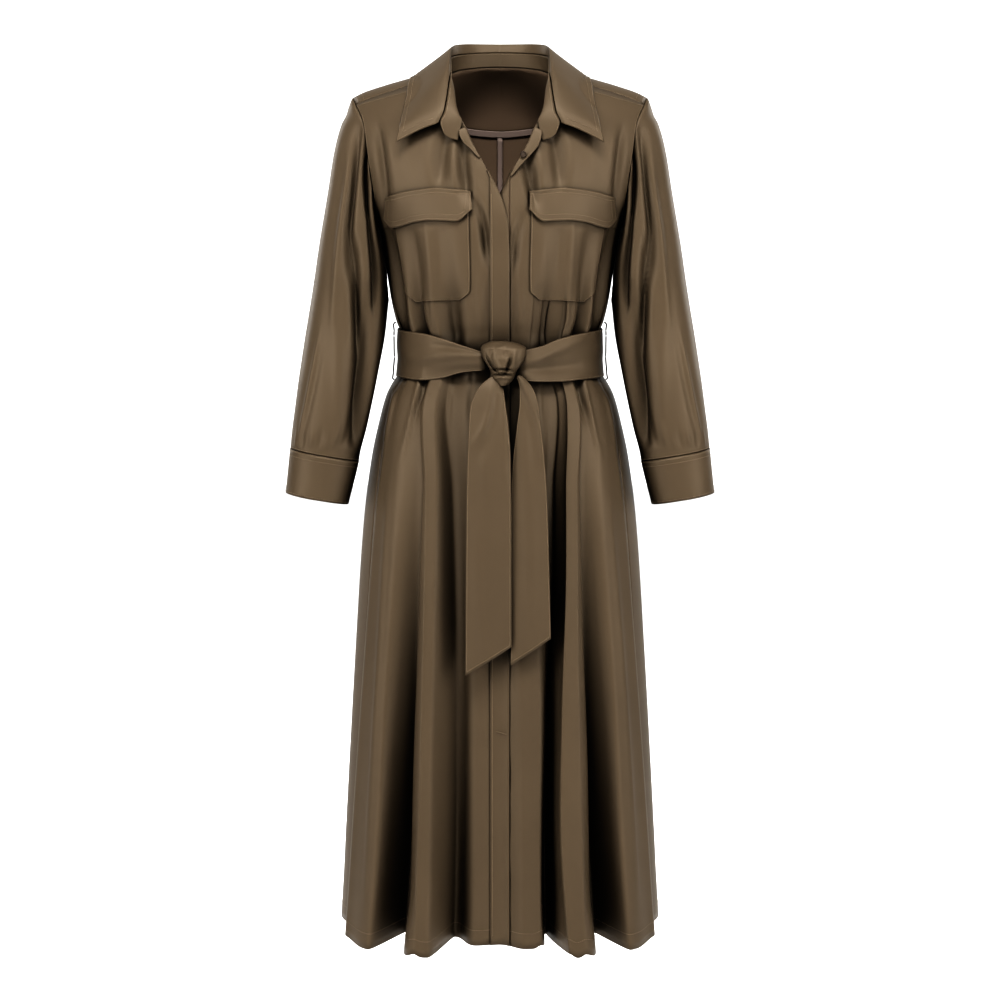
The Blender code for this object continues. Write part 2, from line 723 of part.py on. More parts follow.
# Rows along the sleeve: heights of the outer and the inner side of each.
SLEEVE_ROWS = table("outer inner", [
    (-0.0480, -0.2170), (-0.0700, -0.2230), (-0.1000, -0.2300), (-0.1400, -0.2400), (-0.1850, -0.2520),
    (-0.2330, -0.2740), (-0.2830, -0.3080), (-0.3330, -0.3540), (-0.3830, -0.4030), (-0.4320, -0.4510),
    (-0.4760, -0.4940), (-0.5010, -0.5190), (-0.5125, -0.5300),
])
CUFF_ROWS = table("outer inner", [(-0.5133, -0.5308), (-0.5440, -0.5610), (-0.5745, -0.5905)])
SLEEVE_TURNS = tuple(-t for t in FRONT_TURNS[::-1]) + YOKE_TURNS[1:-1] + BACK_TURNS[:-1]
BODY_AIR = 0.0030         # between the sleeve and the body it hangs against
ARMHOLE_AIR = 0.0024      # between the sleeve and the armhole's edge, past the seam
SEAM_OUT = 0.0021         # how far outside the armhole the sleeve's first row lies
SEAM_DOWN = 0.0010        # and how far below it at the underarm
SLEEVE_OVAL = 0.93        # 1 is an ellipse, less is squarer
SETTLE_ROWS = 7           # rows in which the sleeve passes from the armhole's form to its own
CUFF_LOOSE = 0.0004       # how far the cuff stands out past the sleeve


def off_body(point):
    """Moves a sleeve point sideways, clear of the dress body."""
    side = 1 if point.x > 0 else -1
    width = read(RINGS, "half_width", point.z) + BODY_AIR
    deep = read(RINGS, "front" if point.y < 0 else "back", point.z) + BODY_AIR
    share = min(abs(point.y) / deep, 1.0)
    edge = width * (1.0 - share ** OVAL) ** (1.0 / OVAL)
    if point.z > UNDERARM:
        edge = min(edge, read(ARMHOLE, "x", point.z) + ARMHOLE_AIR)
    point.x = side * max(side * point.x, edge)
    return point


def sleeve_point(side, turn, height, widen=0.0):
    """A point of the full sleeve at a turn round it and a height."""
    outer, inner = read(SLEEVE, "outer", height), read(SLEEVE, "inner", height)
    half_width = (outer - inner) / 2.0 + widen
    half_depth = read(SLEEVE, "half_depth", height) + widen
    angle = math.radians(turn)
    x = (outer + inner) / 2.0 + half_width * power(math.cos(angle), SLEEVE_OVAL)
    y = read(SLEEVE, "y", height) + half_depth * power(math.sin(angle), SLEEVE_OVAL)
    return Vector((side * x, y, height))


def under_share(turn):
    """How far below the top of the sleeve a turn lies, 1 at the underarm."""
    return (1.0 - math.cos(math.radians(turn))) / 2.0


def level_at(rows, r, turn):
    """The height of a row at a turn round the sleeve."""
    return mix(rows["outer"][r], rows["inner"][r], under_share(turn))


def armhole_ring(side):
    ring = []
    for turn in SLEEVE_TURNS:
        degrees, height = armhole(turn if turn else 0.001)
        if abs(turn) > 179.0:
            degrees = 90.0
        point, _ = plain(side * degrees, height)
        point.x += side * SEAM_OUT
        point.z -= SEAM_DOWN * under_share(turn)
        ring.append(point)
    return ring


def sleeves():
    for side, word in ((1, "left"), (-1, "right")):
        start = armhole_ring(side)
        rows = [start]
        strays = []
        for turn, first in zip(SLEEVE_TURNS, start):
            strays.append(first - sleeve_point(side, turn, first.z))
        count = len(SLEEVE_ROWS["outer"])
        for r in range(count):
            fade = 1.0 - ease((r + 1) / SETTLE_ROWS)
            row = []
            for turn, stray in zip(SLEEVE_TURNS, strays):
                point = sleeve_point(side, turn, level_at(SLEEVE_ROWS, r, turn)) + stray * fade
                row.append(off_body(point))
            rows.append(row)
        sheet("sleeve_" + word, rows, WALL, ring=True, flip=side < 0)
        rows = []
        for r in range(len(CUFF_ROWS["outer"])):
            row = []
            for turn in SLEEVE_TURNS:
                row.append(sleeve_point(side, turn, level_at(CUFF_ROWS, r, turn), CUFF_LOOSE))
            rows.append(row)
        sheet("cuff_" + word, rows, CUFF_WALL, ring=True, flip=side < 0)


# ------------------------------------------------------------------ collar
# Half of the collar, from the centre back (0) to the front: the stand's seam for the turned-out end,
# its top edge, the roll of the leaf, the leaf's outer edge, and how much the leaf rounds outwards.
STAND = table("around mid_x mid_y mid_z top_x top_y top_z", [
    (0.00, 0.0000, 0.0625, 0.0230, 0.0000, 0.0640, 0.0340),
    (0.20, 0.0330, 0.0560, 0.0220, 0.0335, 0.0580, 0.0330),
    (0.40, 0.0590, 0.0340, 0.0175, 0.0575, 0.0360, 0.0290),
    (0.56, 0.0705, 0.0030, 0.0115, 0.0670, 0.0040, 0.0230),
    (0.66, 0.0710, -0.0420, -0.0080, 0.0665, -0.0390, 0.0030),
    (0.76, 0.0660, -0.0675, -0.0265, 0.0685, -0.0650, -0.0160),
    (0.86, 0.0620, -0.0910, -0.0580, 0.0745, -0.0905, -0.0530),
    (0.94, 0.0660, -0.0950, -0.0740, 0.0805, -0.0940, -0.0680),
    (1.00, 0.0680, -0.0960, -0.0890, 0.0755, -0.0950, -0.0830),
])
STAND_END = (0.0560, -0.0960, -0.0920)
LEAF = table("around roll_x roll_y roll_z edge_x edge_y edge_z bulge", [
    (0.00, 0.0000, 0.0700, 0.0475, 0.0000, 0.0960, -0.0060, 0.004),
    (0.20, 0.0390, 0.0640, 0.0476, 0.0500, 0.0900, -0.0090, 0.004),
    (0.40, 0.0610, 0.0390, 0.0450, 0.0820, 0.0540, -0.0070, 0.000),
    (0.56, 0.0675, 0.0040, 0.0375, 0.1180, 0.0000, -0.0010, 0.000),
    (0.66, 0.0690, -0.0370, 0.0130, 0.1285, -0.0480, -0.0370, 0.002),
    (0.76, 0.0770, -0.0665, -0.0175, 0.1330, -0.0700, -0.0600, 0.002),
    (0.86, 0.0810, -0.0910, -0.0560, 0.1365, -0.0850, -0.0790, 0.003),
    (0.94, 0.0870, -0.0940, -0.0710, 0.1400, -0.0880, -0.0950, 0.002),
])
COLLAR_FRONT_COLUMNS = (0.67, 0.72, 0.77, 0.82, 0.86, 0.90, 0.94)
LEAF_AIR = 0.0050         # between the leaf and the shoulders
LEAF_START = 0.0009       # between the stand's top edge and the leaf
LEAF_START_FRONT = 0.0018 # the same where the edge runs down steeply in front
FRONT_NECK = 0.62         # where the collar passes from the yoke to the front
STAND_TURN = 0.86         # where the stand's seam leaves the neck seam and turns out
TURN_HEIGHT = -0.066      # its height there
STAND_RISE = 0.0008       # the stand above the neck seam
STAND_OUT = 0.0040        # and in front of the fronts


def neck_at(around):
    """The neck seam of the body under the collar, up to where the front rolls back."""
    if around <= FRONT_NECK:
        return neck_seam(0.5 + 0.5 * around / FRONT_NECK)
    height = mix(FRONT_TOP, TURN_HEIGHT, (around - FRONT_NECK) / (STAND_TURN - FRONT_NECK))
    return front_point(read(NECK_FRONT, "x", height), height)


def collar_columns():
    """Places of the collar's columns: on the yoke's own columns, and then down the front."""
    meets = sorted({meet for _, meet in yoke_outline()}, reverse=True)
    places = [(0.5 - meet) * 2.0 * FRONT_NECK for meet in meets]
    return places[:SEAM_COLUMNS:3] + places[SEAM_COLUMNS:] + list(COLLAR_FRONT_COLUMNS)


def column_vector(chart, name, around):
    return Vector([read(chart, name + axis, around) for axis in ("_x", "_y", "_z")])


def surface_depth(x, height, back):
    drop = shoulder_line(x) - height
    if drop <= 0.0:
        return 0.0
    degrees = degrees_at(x, height)
    return abs(plain(180.0 - degrees if back else degrees, height)[0].y)


def lifted(point, clearance):
    """Moves a point out of the body, upwards or outwards, whichever is nearer."""
    back = point.y > 0
    wanted = surface_depth(point.x, point.z, back) + clearance - abs(point.y)
    if wanted <= 0.0 or point.z > shoulder_line(point.x) + clearance:
        return point
    low, high = point.z, shoulder_line(point.x)
    for _ in range(20):
        middle = (low + high) / 2.0
        if surface_depth(point.x, middle, back) > abs(point.y):
            low = middle
        else:
            high = middle
    rise = high + clearance - point.z
    moved = point.copy()
    if wanted < rise:
        moved.y += math.copysign(wanted, point.y)
    else:
        moved.z += rise
    return moved


def mirrored(columns):
    """A whole collar grid from the columns of its left half, from right to left."""
    other = [[Vector((-p.x, p.y, p.z)) for p in column] for column in columns[1:]]
    whole = other[::-1] + columns
    return [[column[r] for column in whole] for r in range(len(columns[0]))]


def stand_column(around):
    middle, top = (column_vector(STAND, name, around) for name in ("mid", "top"))
    if around <= STAND_TURN:
        seam = neck_at(around) + Vector((0.0, 0.0, STAND_RISE))
        if around > FRONT_NECK:
            seam.y -= STAND_OUT * ease((around - FRONT_NECK) / 0.1)
    else:
        first = neck_at(STAND_TURN) + Vector((0.0, -STAND_OUT, STAND_RISE))
        seam = first.lerp(Vector(STAND_END), (around - STAND_TURN) / (1.0 - STAND_TURN))
    return [seam, middle, top]


def leaf_column(around):
    start = column_vector(STAND, "top", around)
    roll = column_vector(LEAF, "roll", around)
    edge = column_vector(LEAF, "edge", around)
    bulge = read(LEAF, "bulge", around)
    away = (edge - roll).normalized()
    side = Vector((edge.x - roll.x, edge.y - roll.y, 0.0)).normalized()
    lift = (Vector((0.0, 0.0, 1.0)) * 0.6 + side).normalized() * bulge
    first = (roll - start).normalized() if (roll - start).length > 0.001 else away
    begin = start + first * mix(LEAF_START, LEAF_START_FRONT, ease((around - 0.5) / 0.12))
    column = [begin]
    for share in (0.5, 1.0):
        point = begin.lerp(roll, share)
        column.append(point)
    for share in (0.12, 0.35, 0.66, 1.0):
        point = roll.lerp(edge, share) + lift * math.sin(math.pi * share ** 0.7)
        column.append(lifted(point, LEAF_AIR + COLLAR_WALL))
    return column


def collar():
    places = collar_columns()
    sheet("collar", mirrored([leaf_column(a) for a in places]), COLLAR_WALL, flip=True)
    columns = [stand_column(a) for a in places + [0.97, 1.0]]
    sheet("collar_stand", mirrored(columns), COLLAR_WALL, flip=True)


# ------------------------------------------------------------------ belt
BELT_WALL = 0.0020
# The belt's top and bottom edges and how far it stands out, by degrees from the knot round the side.
BELT_LEFT = table("degrees top bottom out", [
    (12.0, -0.3720, -0.4150, 0.0230), (20, -0.3680, -0.4160, 0.0160), (31, -0.3590, -0.4165, 0.0112),
    (46, -0.3525, -0.4150, 0.0095), (70, -0.3490, -0.4140, 0.0068), (90, -0.3480, -0.4130, 0.0048),
    (130, -0.3490, -0.4115, 0.0092), (180, -0.3500, -0.4115, 0.0084),
])
BELT_RIGHT = table("degrees top bottom out", [
    (8.7, -0.3740, -0.4010, 0.0230), (19, -0.3660, -0.4040, 0.0160), (31, -0.3580, -0.4120, 0.0112),
    (44, -0.3520, -0.4156, 0.0095), (70, -0.3490, -0.4140, 0.0068), (90, -0.3480, -0.4130, 0.0048),
    (130, -0.3490, -0.4115, 0.0092), (180, -0.3500, -0.4115, 0.0084),
])
BELT_COLUMNS = (21, 30, 40, 51, 62, 74, 87, 100, 113, 126, 140, 154, 167)


def belt_column(side, degrees):
    chart = BELT_LEFT if side > 0 else BELT_RIGHT
    top = read(chart, "top", degrees)
    bottom = read(chart, "bottom", degrees)
    out = read(chart, "out", degrees)
    column = []
    for share in (0.0, 0.33, 0.67, 1.0):
        height = mix(top, bottom, share)
        point, away = plain(side * degrees, height)
        column.append(point + away * out)
    return column


def belt():
    right = [belt_column(-1, degrees) for degrees in (8.7, 14.5) + BELT_COLUMNS]
    left = [belt_column(1, degrees) for degrees in (12.0, 16.0) + BELT_COLUMNS + (180,)]
    columns = right + left[::-1]
    rows = [[column[r] for column in columns] for r in range(4)]
    sheet("belt", rows, BELT_WALL, flip=True)


KNOT = table("height left right front back", [
    (-0.3650, -0.0140, 0.0150, 0.004, 0.004),
    (-0.3700, -0.0235, 0.0320, 0.011, 0.008),
    (-0.3780, -0.0245, 0.0345, 0.016, 0.009),
    (-0.3880, -0.0200, 0.0300, 0.018, 0.009),
    (-0.3990, -0.0130, 0.0250, 0.019, 0.008),
    (-0.4100, -0.0110, 0.0205, 0.018, 0.006),
    (-0.4160, -0.0102, 0.0192, 0.0175, 0.004),
    (-0.4200, -0.0098, 0.0184, 0.0165, 0.003),
])
KNOT_Y = -0.1170
KNOT_SIDES = 16


def knot():
    """A rounded bundle of cloth, wide above and narrow below, closed at both ends."""
    shape = bmesh.new()
    rings = []
    for height, left, right, front, back in zip(*KNOT.values()):
        middle, half = (left + right) / 2.0, (right - left) / 2.0
        ring = []
        for i in range(KNOT_SIDES):
            turn = 2.0 * math.pi * i / KNOT_SIDES
            x = middle + half * power(math.cos(turn), 0.8)
            deep = front if math.sin(turn) > 0 else back
            y = KNOT_Y - deep * power(math.sin(turn), 0.8)
            ring.append(shape.verts.new((x, y, height)))
        rings.append(ring)
    for upper, lower in zip(rings, rings[1:]):
        for i in range(KNOT_SIDES):
            j = (i + 1) % KNOT_SIDES
            shape.faces.new((upper[i], upper[j], lower[j], lower[i]))
    shape.faces.new(rings[0][::-1])
    shape.faces.new(rings[-1])
    bmesh.ops.recalc_face_normals(shape, faces=shape.faces)
    mesh = bpy.data.meshes.new("belt_knot")
    shape.to_mesh(mesh)
    shape.free()
    mesh.shade_smooth()
    add_object("belt_knot", mesh, CLOTH)


# Tails: edges and front face by share of the length; the last row slants.
TAIL_RIGHT = table("share left right y left_z right_z", [
    (0.00, -0.0085, 0.0020, -0.1300, -0.4207, -0.4207),
    (0.04, -0.0240, 0.0040, -0.1370, -0.4290, -0.4330),
    (0.09, -0.0365, 0.0070, -0.1400, -0.4480, -0.4480),
    (0.18, -0.0425, 0.0120, -0.1430, -0.4800, -0.4760),
    (0.35, -0.0450, 0.0150, -0.1460, -0.5500, -0.5360),
    (0.60, -0.0462, 0.0153, -0.1490, -0.6550, -0.6300),
    (1.00, -0.0470, 0.0153, -0.1530, -0.8110, -0.7720),
])
TAIL_LEFT = table("share left right y left_z right_z", [
    (0.00, 0.0070, 0.0165, -0.1255, -0.4207, -0.4207),
    (0.04, 0.0120, 0.0330, -0.1310, -0.4330, -0.4280),
    (0.09, 0.0135, 0.0490, -0.1335, -0.4480, -0.4420),
    (0.18, 0.0140, 0.0555, -0.1360, -0.4790, -0.4700),
    (0.35, 0.0140, 0.0615, -0.1395, -0.5450, -0.5300),
    (0.60, 0.0140, 0.0650, -0.1430, -0.6480, -0.6250),
    (1.00, 0.0140, 0.0690, -0.1480, -0.7980, -0.7610),
])


TAIL_STEPS = 10
TAIL_CROWN = 0.003        # how far the middle of a tail stands out


def tails():
    for word, chart in (("right", TAIL_RIGHT), ("left", TAIL_LEFT)):
        rows = []
        for r in range(TAIL_STEPS + 1):
            share = (r / TAIL_STEPS) ** 1.3
            left, right = read(chart, "left", share), read(chart, "right", share)
            left_z, right_z = read(chart, "left_z", share), read(chart, "right_z", share)
            row = []
            for across in (0.0, 0.25, 0.5, 0.75, 1.0):
                y = read(chart, "y", share) - TAIL_CROWN * math.sin(math.pi * across)
                row.append(Vector((mix(left, right, across), y, mix(left_z, right_z, across))))
            rows.append(row)
        sheet("belt_tail_" + word, rows, BELT_WALL)


# The loops' course: height and how far it stands off the dress.
LOOP = table("height out", [
    (-0.3360, 0.0011), (-0.3372, 0.0056), (-0.3420, 0.0096), (-0.3560, 0.0128), (-0.3810, 0.0142),
    (-0.4030, 0.0128), (-0.4160, 0.0094), (-0.4206, 0.0055), (-0.4216, 0.0011),
])
LOOP_RADIUS = 0.0010


def belt_loops():
    """Thread carriers outside the belt at the sides, as thin curves."""
    for side, word in ((1, "left"), (-1, "right")):
        curve = bpy.data.curves.new("belt_loop_" + word, "CURVE")
        curve.dimensions = "3D"
        curve.bevel_depth = LOOP_RADIUS
        curve.bevel_resolution = 1
        curve.use_fill_caps = True
        line = curve.splines.new("POLY")
        line.points.add(len(LOOP["height"]) - 1)
        for point, height, out in zip(line.points, LOOP["height"], LOOP["out"]):
            spot, away = plain(side * 88.0, height)
            point.co = (*(spot + away * out), 1.0)
        add_object("belt_loop_" + word, curve, THREAD)


# ------------------------------------------------------------------ button and bindings
BUTTON_RADIUS = 0.0042
BUTTON_DEPTH = 0.0022
BUTTON_X = 0.0272         # its place on the left front's neck edge, and how far it stands off
BUTTON_HEIGHT = -0.1110
BUTTON_OFF = (0.0040, -0.0073, 0.0)


def button():
    """The top button of the placket, which shows at the edge of the open neck."""
    bpy.ops.mesh.primitive_cylinder_add(vertices=20, radius=BUTTON_RADIUS, depth=BUTTON_DEPTH)
    made = bpy.context.active_object
    made.name = "top_button"
    made.rotation_euler = (math.radians(90.0), 0.0, math.radians(20.0))
    made.location = front_point(BUTTON_X, BUTTON_HEIGHT) + Vector(BUTTON_OFF)
    made.data.materials.append(finish_of(BUTTON))
    for home in list(made.users_collection):
        home.objects.unlink(made)
    PARTS.objects.link(made)


BINDING_WIDTH = 0.0075
BINDING_AIR = 0.0011      # between a back and its bound seam edges
BINDING_END = 0.95        # the binding stops short of the armhole
BINDING_TOP = (-0.0835, -0.105, -0.130, -0.155, -0.180, UNDERARM)
BINDING_LIFT = 0.012      # and short of the hem


def bindings():
    """Bound seam edges inside the back, which show through the neck."""
    rows = []
    inward = WALL + BINDING_AIR
    shares, _ = back_shares(1)
    shares = [share for share in shares if share < BINDING_END]
    for down in (0.0, 1.0):
        row = []
        for share in [-share for share in shares[:0:-1]] + shares:
            degrees, height = back_seam(abs(share))
            height += BINDING_WIDTH / 2.0 - BINDING_WIDTH * down
            degrees = math.copysign(degrees, share)
            row.append(plain(degrees, height)[0] - facing_out(degrees, height) * inward)
        rows.append(row)
    sheet("yoke_binding", rows, TRIM_WALL, finish=BINDING, flip=True)
    rows = []
    for height in BINDING_TOP + LOWER_ROWS[:-1] + (HEM + BINDING_LIFT,):
        row = []
        for side in (-1, 1):
            lean = math.degrees(BINDING_WIDTH / 2.0 / read(RINGS, "back", height))
            point, away = plain(side * (180.0 - lean), height)
            deep = fold_line(side, 12, height)[1] if height < FADE else 0.0
            row.append(point + away * (deep - inward))
        rows.append(row)
    sheet("back_seam_binding", rows, TRIM_WALL, finish=BINDING, flip=True)


# ------------------------------------------------------------------ the model
def clear_scene():
    for old in list(bpy.data.objects):
        bpy.data.objects.remove(old, do_unlink=True)


def build():
    panels = fronts()
    backs()
    yoke()
    plackets()
    facings()
    sleeves()
    pockets(panels)
    collar()
    belt()
    knot()
    tails()
    belt_loops()
    button()
    bindings()


clear_scene()
PARTS = bpy.data.collections.new("shirt_dress")
bpy.context.scene.collection.children.link(PARTS)
build()
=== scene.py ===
# %% [markdown]
# # A belted shirt dress, filled out with no wearer in it
# The dress hangs from its shoulders, as on a wearer who isn't there, so every piece of cloth is a thin
# shell round an empty hollow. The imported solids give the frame: each shell here has the same form as
# its solid, only with finer folds, creases, stitches and the finish of the cloth.
# The origin is midway between the shoulder points at the neck, +Z is up, -Y is the front and +X is the
# wearer's left.

# %% The frame
import json
import math

import bpy
import numpy as np
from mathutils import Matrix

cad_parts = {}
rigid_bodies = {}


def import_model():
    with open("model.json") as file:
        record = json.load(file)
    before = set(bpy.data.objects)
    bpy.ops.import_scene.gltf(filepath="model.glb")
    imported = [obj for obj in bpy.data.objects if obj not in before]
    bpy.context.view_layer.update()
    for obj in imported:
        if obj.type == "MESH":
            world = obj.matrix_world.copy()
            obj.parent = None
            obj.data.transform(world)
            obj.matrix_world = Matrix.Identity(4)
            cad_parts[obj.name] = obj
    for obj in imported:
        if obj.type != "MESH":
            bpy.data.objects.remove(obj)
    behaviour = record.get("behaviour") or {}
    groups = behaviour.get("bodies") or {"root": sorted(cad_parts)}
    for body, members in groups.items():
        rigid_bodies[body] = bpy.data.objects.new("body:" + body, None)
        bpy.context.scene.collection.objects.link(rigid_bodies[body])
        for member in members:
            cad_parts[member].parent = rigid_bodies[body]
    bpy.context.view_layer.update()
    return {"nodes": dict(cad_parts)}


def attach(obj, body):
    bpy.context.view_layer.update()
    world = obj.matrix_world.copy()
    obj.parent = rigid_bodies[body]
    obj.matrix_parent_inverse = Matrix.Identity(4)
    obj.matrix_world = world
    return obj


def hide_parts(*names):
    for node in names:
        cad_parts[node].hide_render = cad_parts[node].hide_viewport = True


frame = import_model()
print("solids:", len(frame["nodes"]))

# %% [markdown]
# ## Reading a table smoothly
# A dress pattern is a short list of sizes at a few heights. A monotone cubic joins them with no
# overshoot, so a waist that is narrowest at one height stays narrowest there. The helpers take whole
# arrays, because a fine mesh asks for many thousands of points.

# %% Tables
MM = 0.001


def table(columns, rows):
    """A table as {column: array}, from a line of column names and its rows."""
    return {name: np.array([row[i] for row in rows], float) for i, name in enumerate(columns.split())}


def ease(t):
    """A smooth step from 0 to 1."""
    t = np.clip(t, 0.0, 1.0)
    return t * t * (3.0 - 2.0 * t)


def mix(a, b, t):
    return a + (b - a) * t


def read(chart, column, where):
    """Reads a column at places along the table's first column."""
    xs, ys = chart[next(iter(chart))], chart[column]
    if xs[0] > xs[-1]:
        xs, ys = xs[::-1], ys[::-1]
    chords = np.diff(ys) / np.diff(xs)
    product = chords[:-1] * chords[1:]
    total = np.where(product > 0.0, chords[:-1] + chords[1:], 1.0)
    inner = np.where(product > 0.0, 2.0 * product / total, 0.0)
    slopes = np.concatenate((chords[:1], inner, chords[-1:]))
    x = np.clip(where, xs[0], xs[-1])
    i = np.clip(np.searchsorted(xs, x, side="right") - 1, 0, len(xs) - 2)
    span = xs[i + 1] - xs[i]
    t = (x - xs[i]) / span
    rise, fall, change = slopes[i] * span, slopes[i + 1] * span, ys[i + 1] - ys[i]
    return ys[i] + t * (rise + t * (3 * change - 2 * rise - fall + t * (rise + fall - 2 * change)))


def power(value, exponent):
    return np.sign(value) * np.abs(value) ** exponent


def unit(vectors):
    length = np.linalg.norm(vectors, axis=-1, keepdims=True)
    return vectors / np.maximum(length, 1e-9)


def spaced(*marks_and_steps):
    """Numbers from mark to mark, with a count of steps between each: mark, steps, mark, steps, mark."""
    made = []
    for start, steps, end in zip(marks_and_steps[::2], marks_and_steps[1::2], marks_and_steps[2::2]):
        made.extend(mix(start, end, i / steps) for i in range(steps))
    return np.array(made + [marks_and_steps[-1]])


print("halfway from 0 to 1:", float(ease(0.5)))

# %% [markdown]
# ## Camera, floor and light
# A garment is usually shot from straight ahead and slightly above, through a long lens, so that its
# proportions stay true. Two big soft lamps stand in front at the sides, one hangs above so that the
# collar, flaps and belt throw soft shadows, and two weak ones behind keep the back readable. The
# backdrop glows white, and the room itself stays dim, so deep folds go dark, and the cloth's finish
# paints more shade into them.

# %% Camera
ELEVATION = math.radians(6.0)
DISTANCE = 3.6
TARGET_HEIGHT = -0.58806
camera_data = bpy.data.cameras.new("camera")
camera_data.lens = 92.57
camera_data.sensor_width = 36.0
camera = bpy.data.objects.new("camera", camera_data)
camera.location = (0.0, -DISTANCE * math.cos(ELEVATION), TARGET_HEIGHT + DISTANCE * math.sin(ELEVATION))
camera.rotation_euler = (math.radians(90.0) - ELEVATION, 0.0, 0.0)
bpy.context.scene.collection.objects.link(camera)
bpy.context.scene.camera = camera
print("camera at", [round(v, 3) for v in camera.location])

# %% Lamps
def lamp(name, place, aim, size, watts):
    """A soft square lamp at a place, turned to a point."""
    data = bpy.data.lights.new(name, "AREA")
    data.shape = "RECTANGLE"
    data.size, data.size_y = size
    data.energy = watts
    made = bpy.data.objects.new(name, data)
    made.location = place
    x, y, z = np.array(aim) - np.array(place)
    tip = math.atan2(math.hypot(x, y), -z)
    swing = math.atan2(x, -y) + math.pi
    made.rotation_euler = (tip, 0.0, swing)
    bpy.context.scene.collection.objects.link(made)


MIDDLE = (0.0, 0.0, -0.6)  # of the dress, about
CHEST = (0.0, 0.0, -0.4)
TALL = (0.8, 2.0)
WIDE = (1.4, 1.0)
lamp("lamp_left", (-2.30, -2.00, 0.10), MIDDLE, TALL, 108.0)
lamp("lamp_right", (2.30, -2.00, 0.10), MIDDLE, TALL, 108.0)
lamp("lamp_above", (0.0, -1.80, 2.10), CHEST, WIDE, 175.0)
lamp("lamp_behind_left", (-2.60, 2.40, 0.60), MIDDLE, TALL, 34.0)
lamp("lamp_behind_right", (2.60, 2.40, 0.60), MIDDLE, TALL, 34.0)
print("lamps:", len(bpy.data.lights))

# %% Room, floor and backdrop
FLOOR = -1.46             # where the wearer would stand
BACKDROP = 9.0            # behind the dress

world = bpy.data.worlds.new("room")
world.use_nodes = True
room = world.node_tree.nodes["Background"]
room.inputs["Color"].default_value = (1.0, 1.0, 1.0, 1.0)
room.inputs["Strength"].default_value = 0.38
bpy.context.scene.world = world
bpy.context.scene.view_settings.view_transform = "Standard"
bpy.context.scene.view_settings.look = "Very High Contrast"


def stage_plane(name, paint_name, size, place, tip, grey, roughness, glow=0.0):
    """A plain plane of the studio, tipped up by some degrees."""
    turned = (math.radians(tip), 0.0, 0.0)
    bpy.ops.mesh.primitive_plane_add(size=size, location=place, rotation=turned)
    made = bpy.context.active_object
    made.name = name
    paint = bpy.data.materials.new(paint_name)
    paint.use_nodes = True
    shader = paint.node_tree.nodes["Principled BSDF"]
    shader.inputs["Base Color"].default_value = (grey, grey, grey, 1.0)
    shader.inputs["Roughness"].default_value = roughness
    shader.inputs["Emission Color"].default_value = (1.0, 1.0, 1.0, 1.0)
    shader.inputs["Emission Strength"].default_value = glow
    made.data.materials.append(paint)


stage_plane("floor", "pale_floor", 30.0, (0.0, 0.0, FLOOR), 0.0, 0.86, 0.9)
stage_plane("backdrop", "white_backdrop", 40.0, (0.0, BACKDROP, 0.0), 90.0, 0.0, 0.5, glow=1.0)
print("floor at", FLOOR)

# %% [markdown]
# ## The finish of the cloth
# The cloth is a crepe with a satin face: a tiny pebbled grain that scatters most of the light, and a
# low, wide gloss along the tops of the folds. A Principled shader gives the gloss, and a bump from fine
# noise gives the pebbles. Slow noise varies the tone a little, as dyed cloth does.
# Little light gets into a deep fold. An ambient occlusion node measures how closed in each point is,
# and the colour is darkened there, down to a share of itself: shade painted into the colour. The
# wrong side of the cloth is duller and a little lighter, so the inside of the back has a finish of its
# own.

# %% Colours and a plain finish
SATIN = (0.0372, 0.0280, 0.0185)
WRONG = (0.070, 0.050, 0.035)
TAPE = (0.105, 0.082, 0.072)
CARRIER = (0.022, 0.016, 0.012)
RESIN = (0.014, 0.010, 0.008)
THREAD = (0.088, 0.066, 0.044)
FINE_GRAIN = 0.00020      # depth of the pebbles, in metres


def shader_of(name, colour, roughness, sheen=0.0, gloss=0.5):
    made = bpy.data.materials.new(name)
    made.use_nodes = True
    shader = made.node_tree.nodes["Principled BSDF"]
    shader.inputs["Base Color"].default_value = (*colour, 1.0)
    shader.inputs["Roughness"].default_value = roughness
    shader.inputs["Specular IOR Level"].default_value = gloss
    shader.inputs["Sheen Weight"].default_value = sheen
    shader.inputs["Sheen Roughness"].default_value = 0.35
    shader.inputs["Sheen Tint"].default_value = (0.95, 0.84, 0.62, 1.0)
    shader.inputs["Specular Tint"].default_value = (1.0, 0.85, 0.68, 1.0)
    return made, made.node_tree, shader


print("satin, linear colour:", SATIN)


# %% A woven finish
def add_node(tree, kind, inputs, **settings):
    """A shader node with its settings and the values of its inputs."""
    made = tree.nodes.new("ShaderNode" + kind)
    for name, value in settings.items():
        setattr(made, name, value)
    for name, value in inputs.items():
        made.inputs[name].default_value = value
    return made


def tinted(colour, share):
    return (*[channel * share for channel in colour], 1.0)


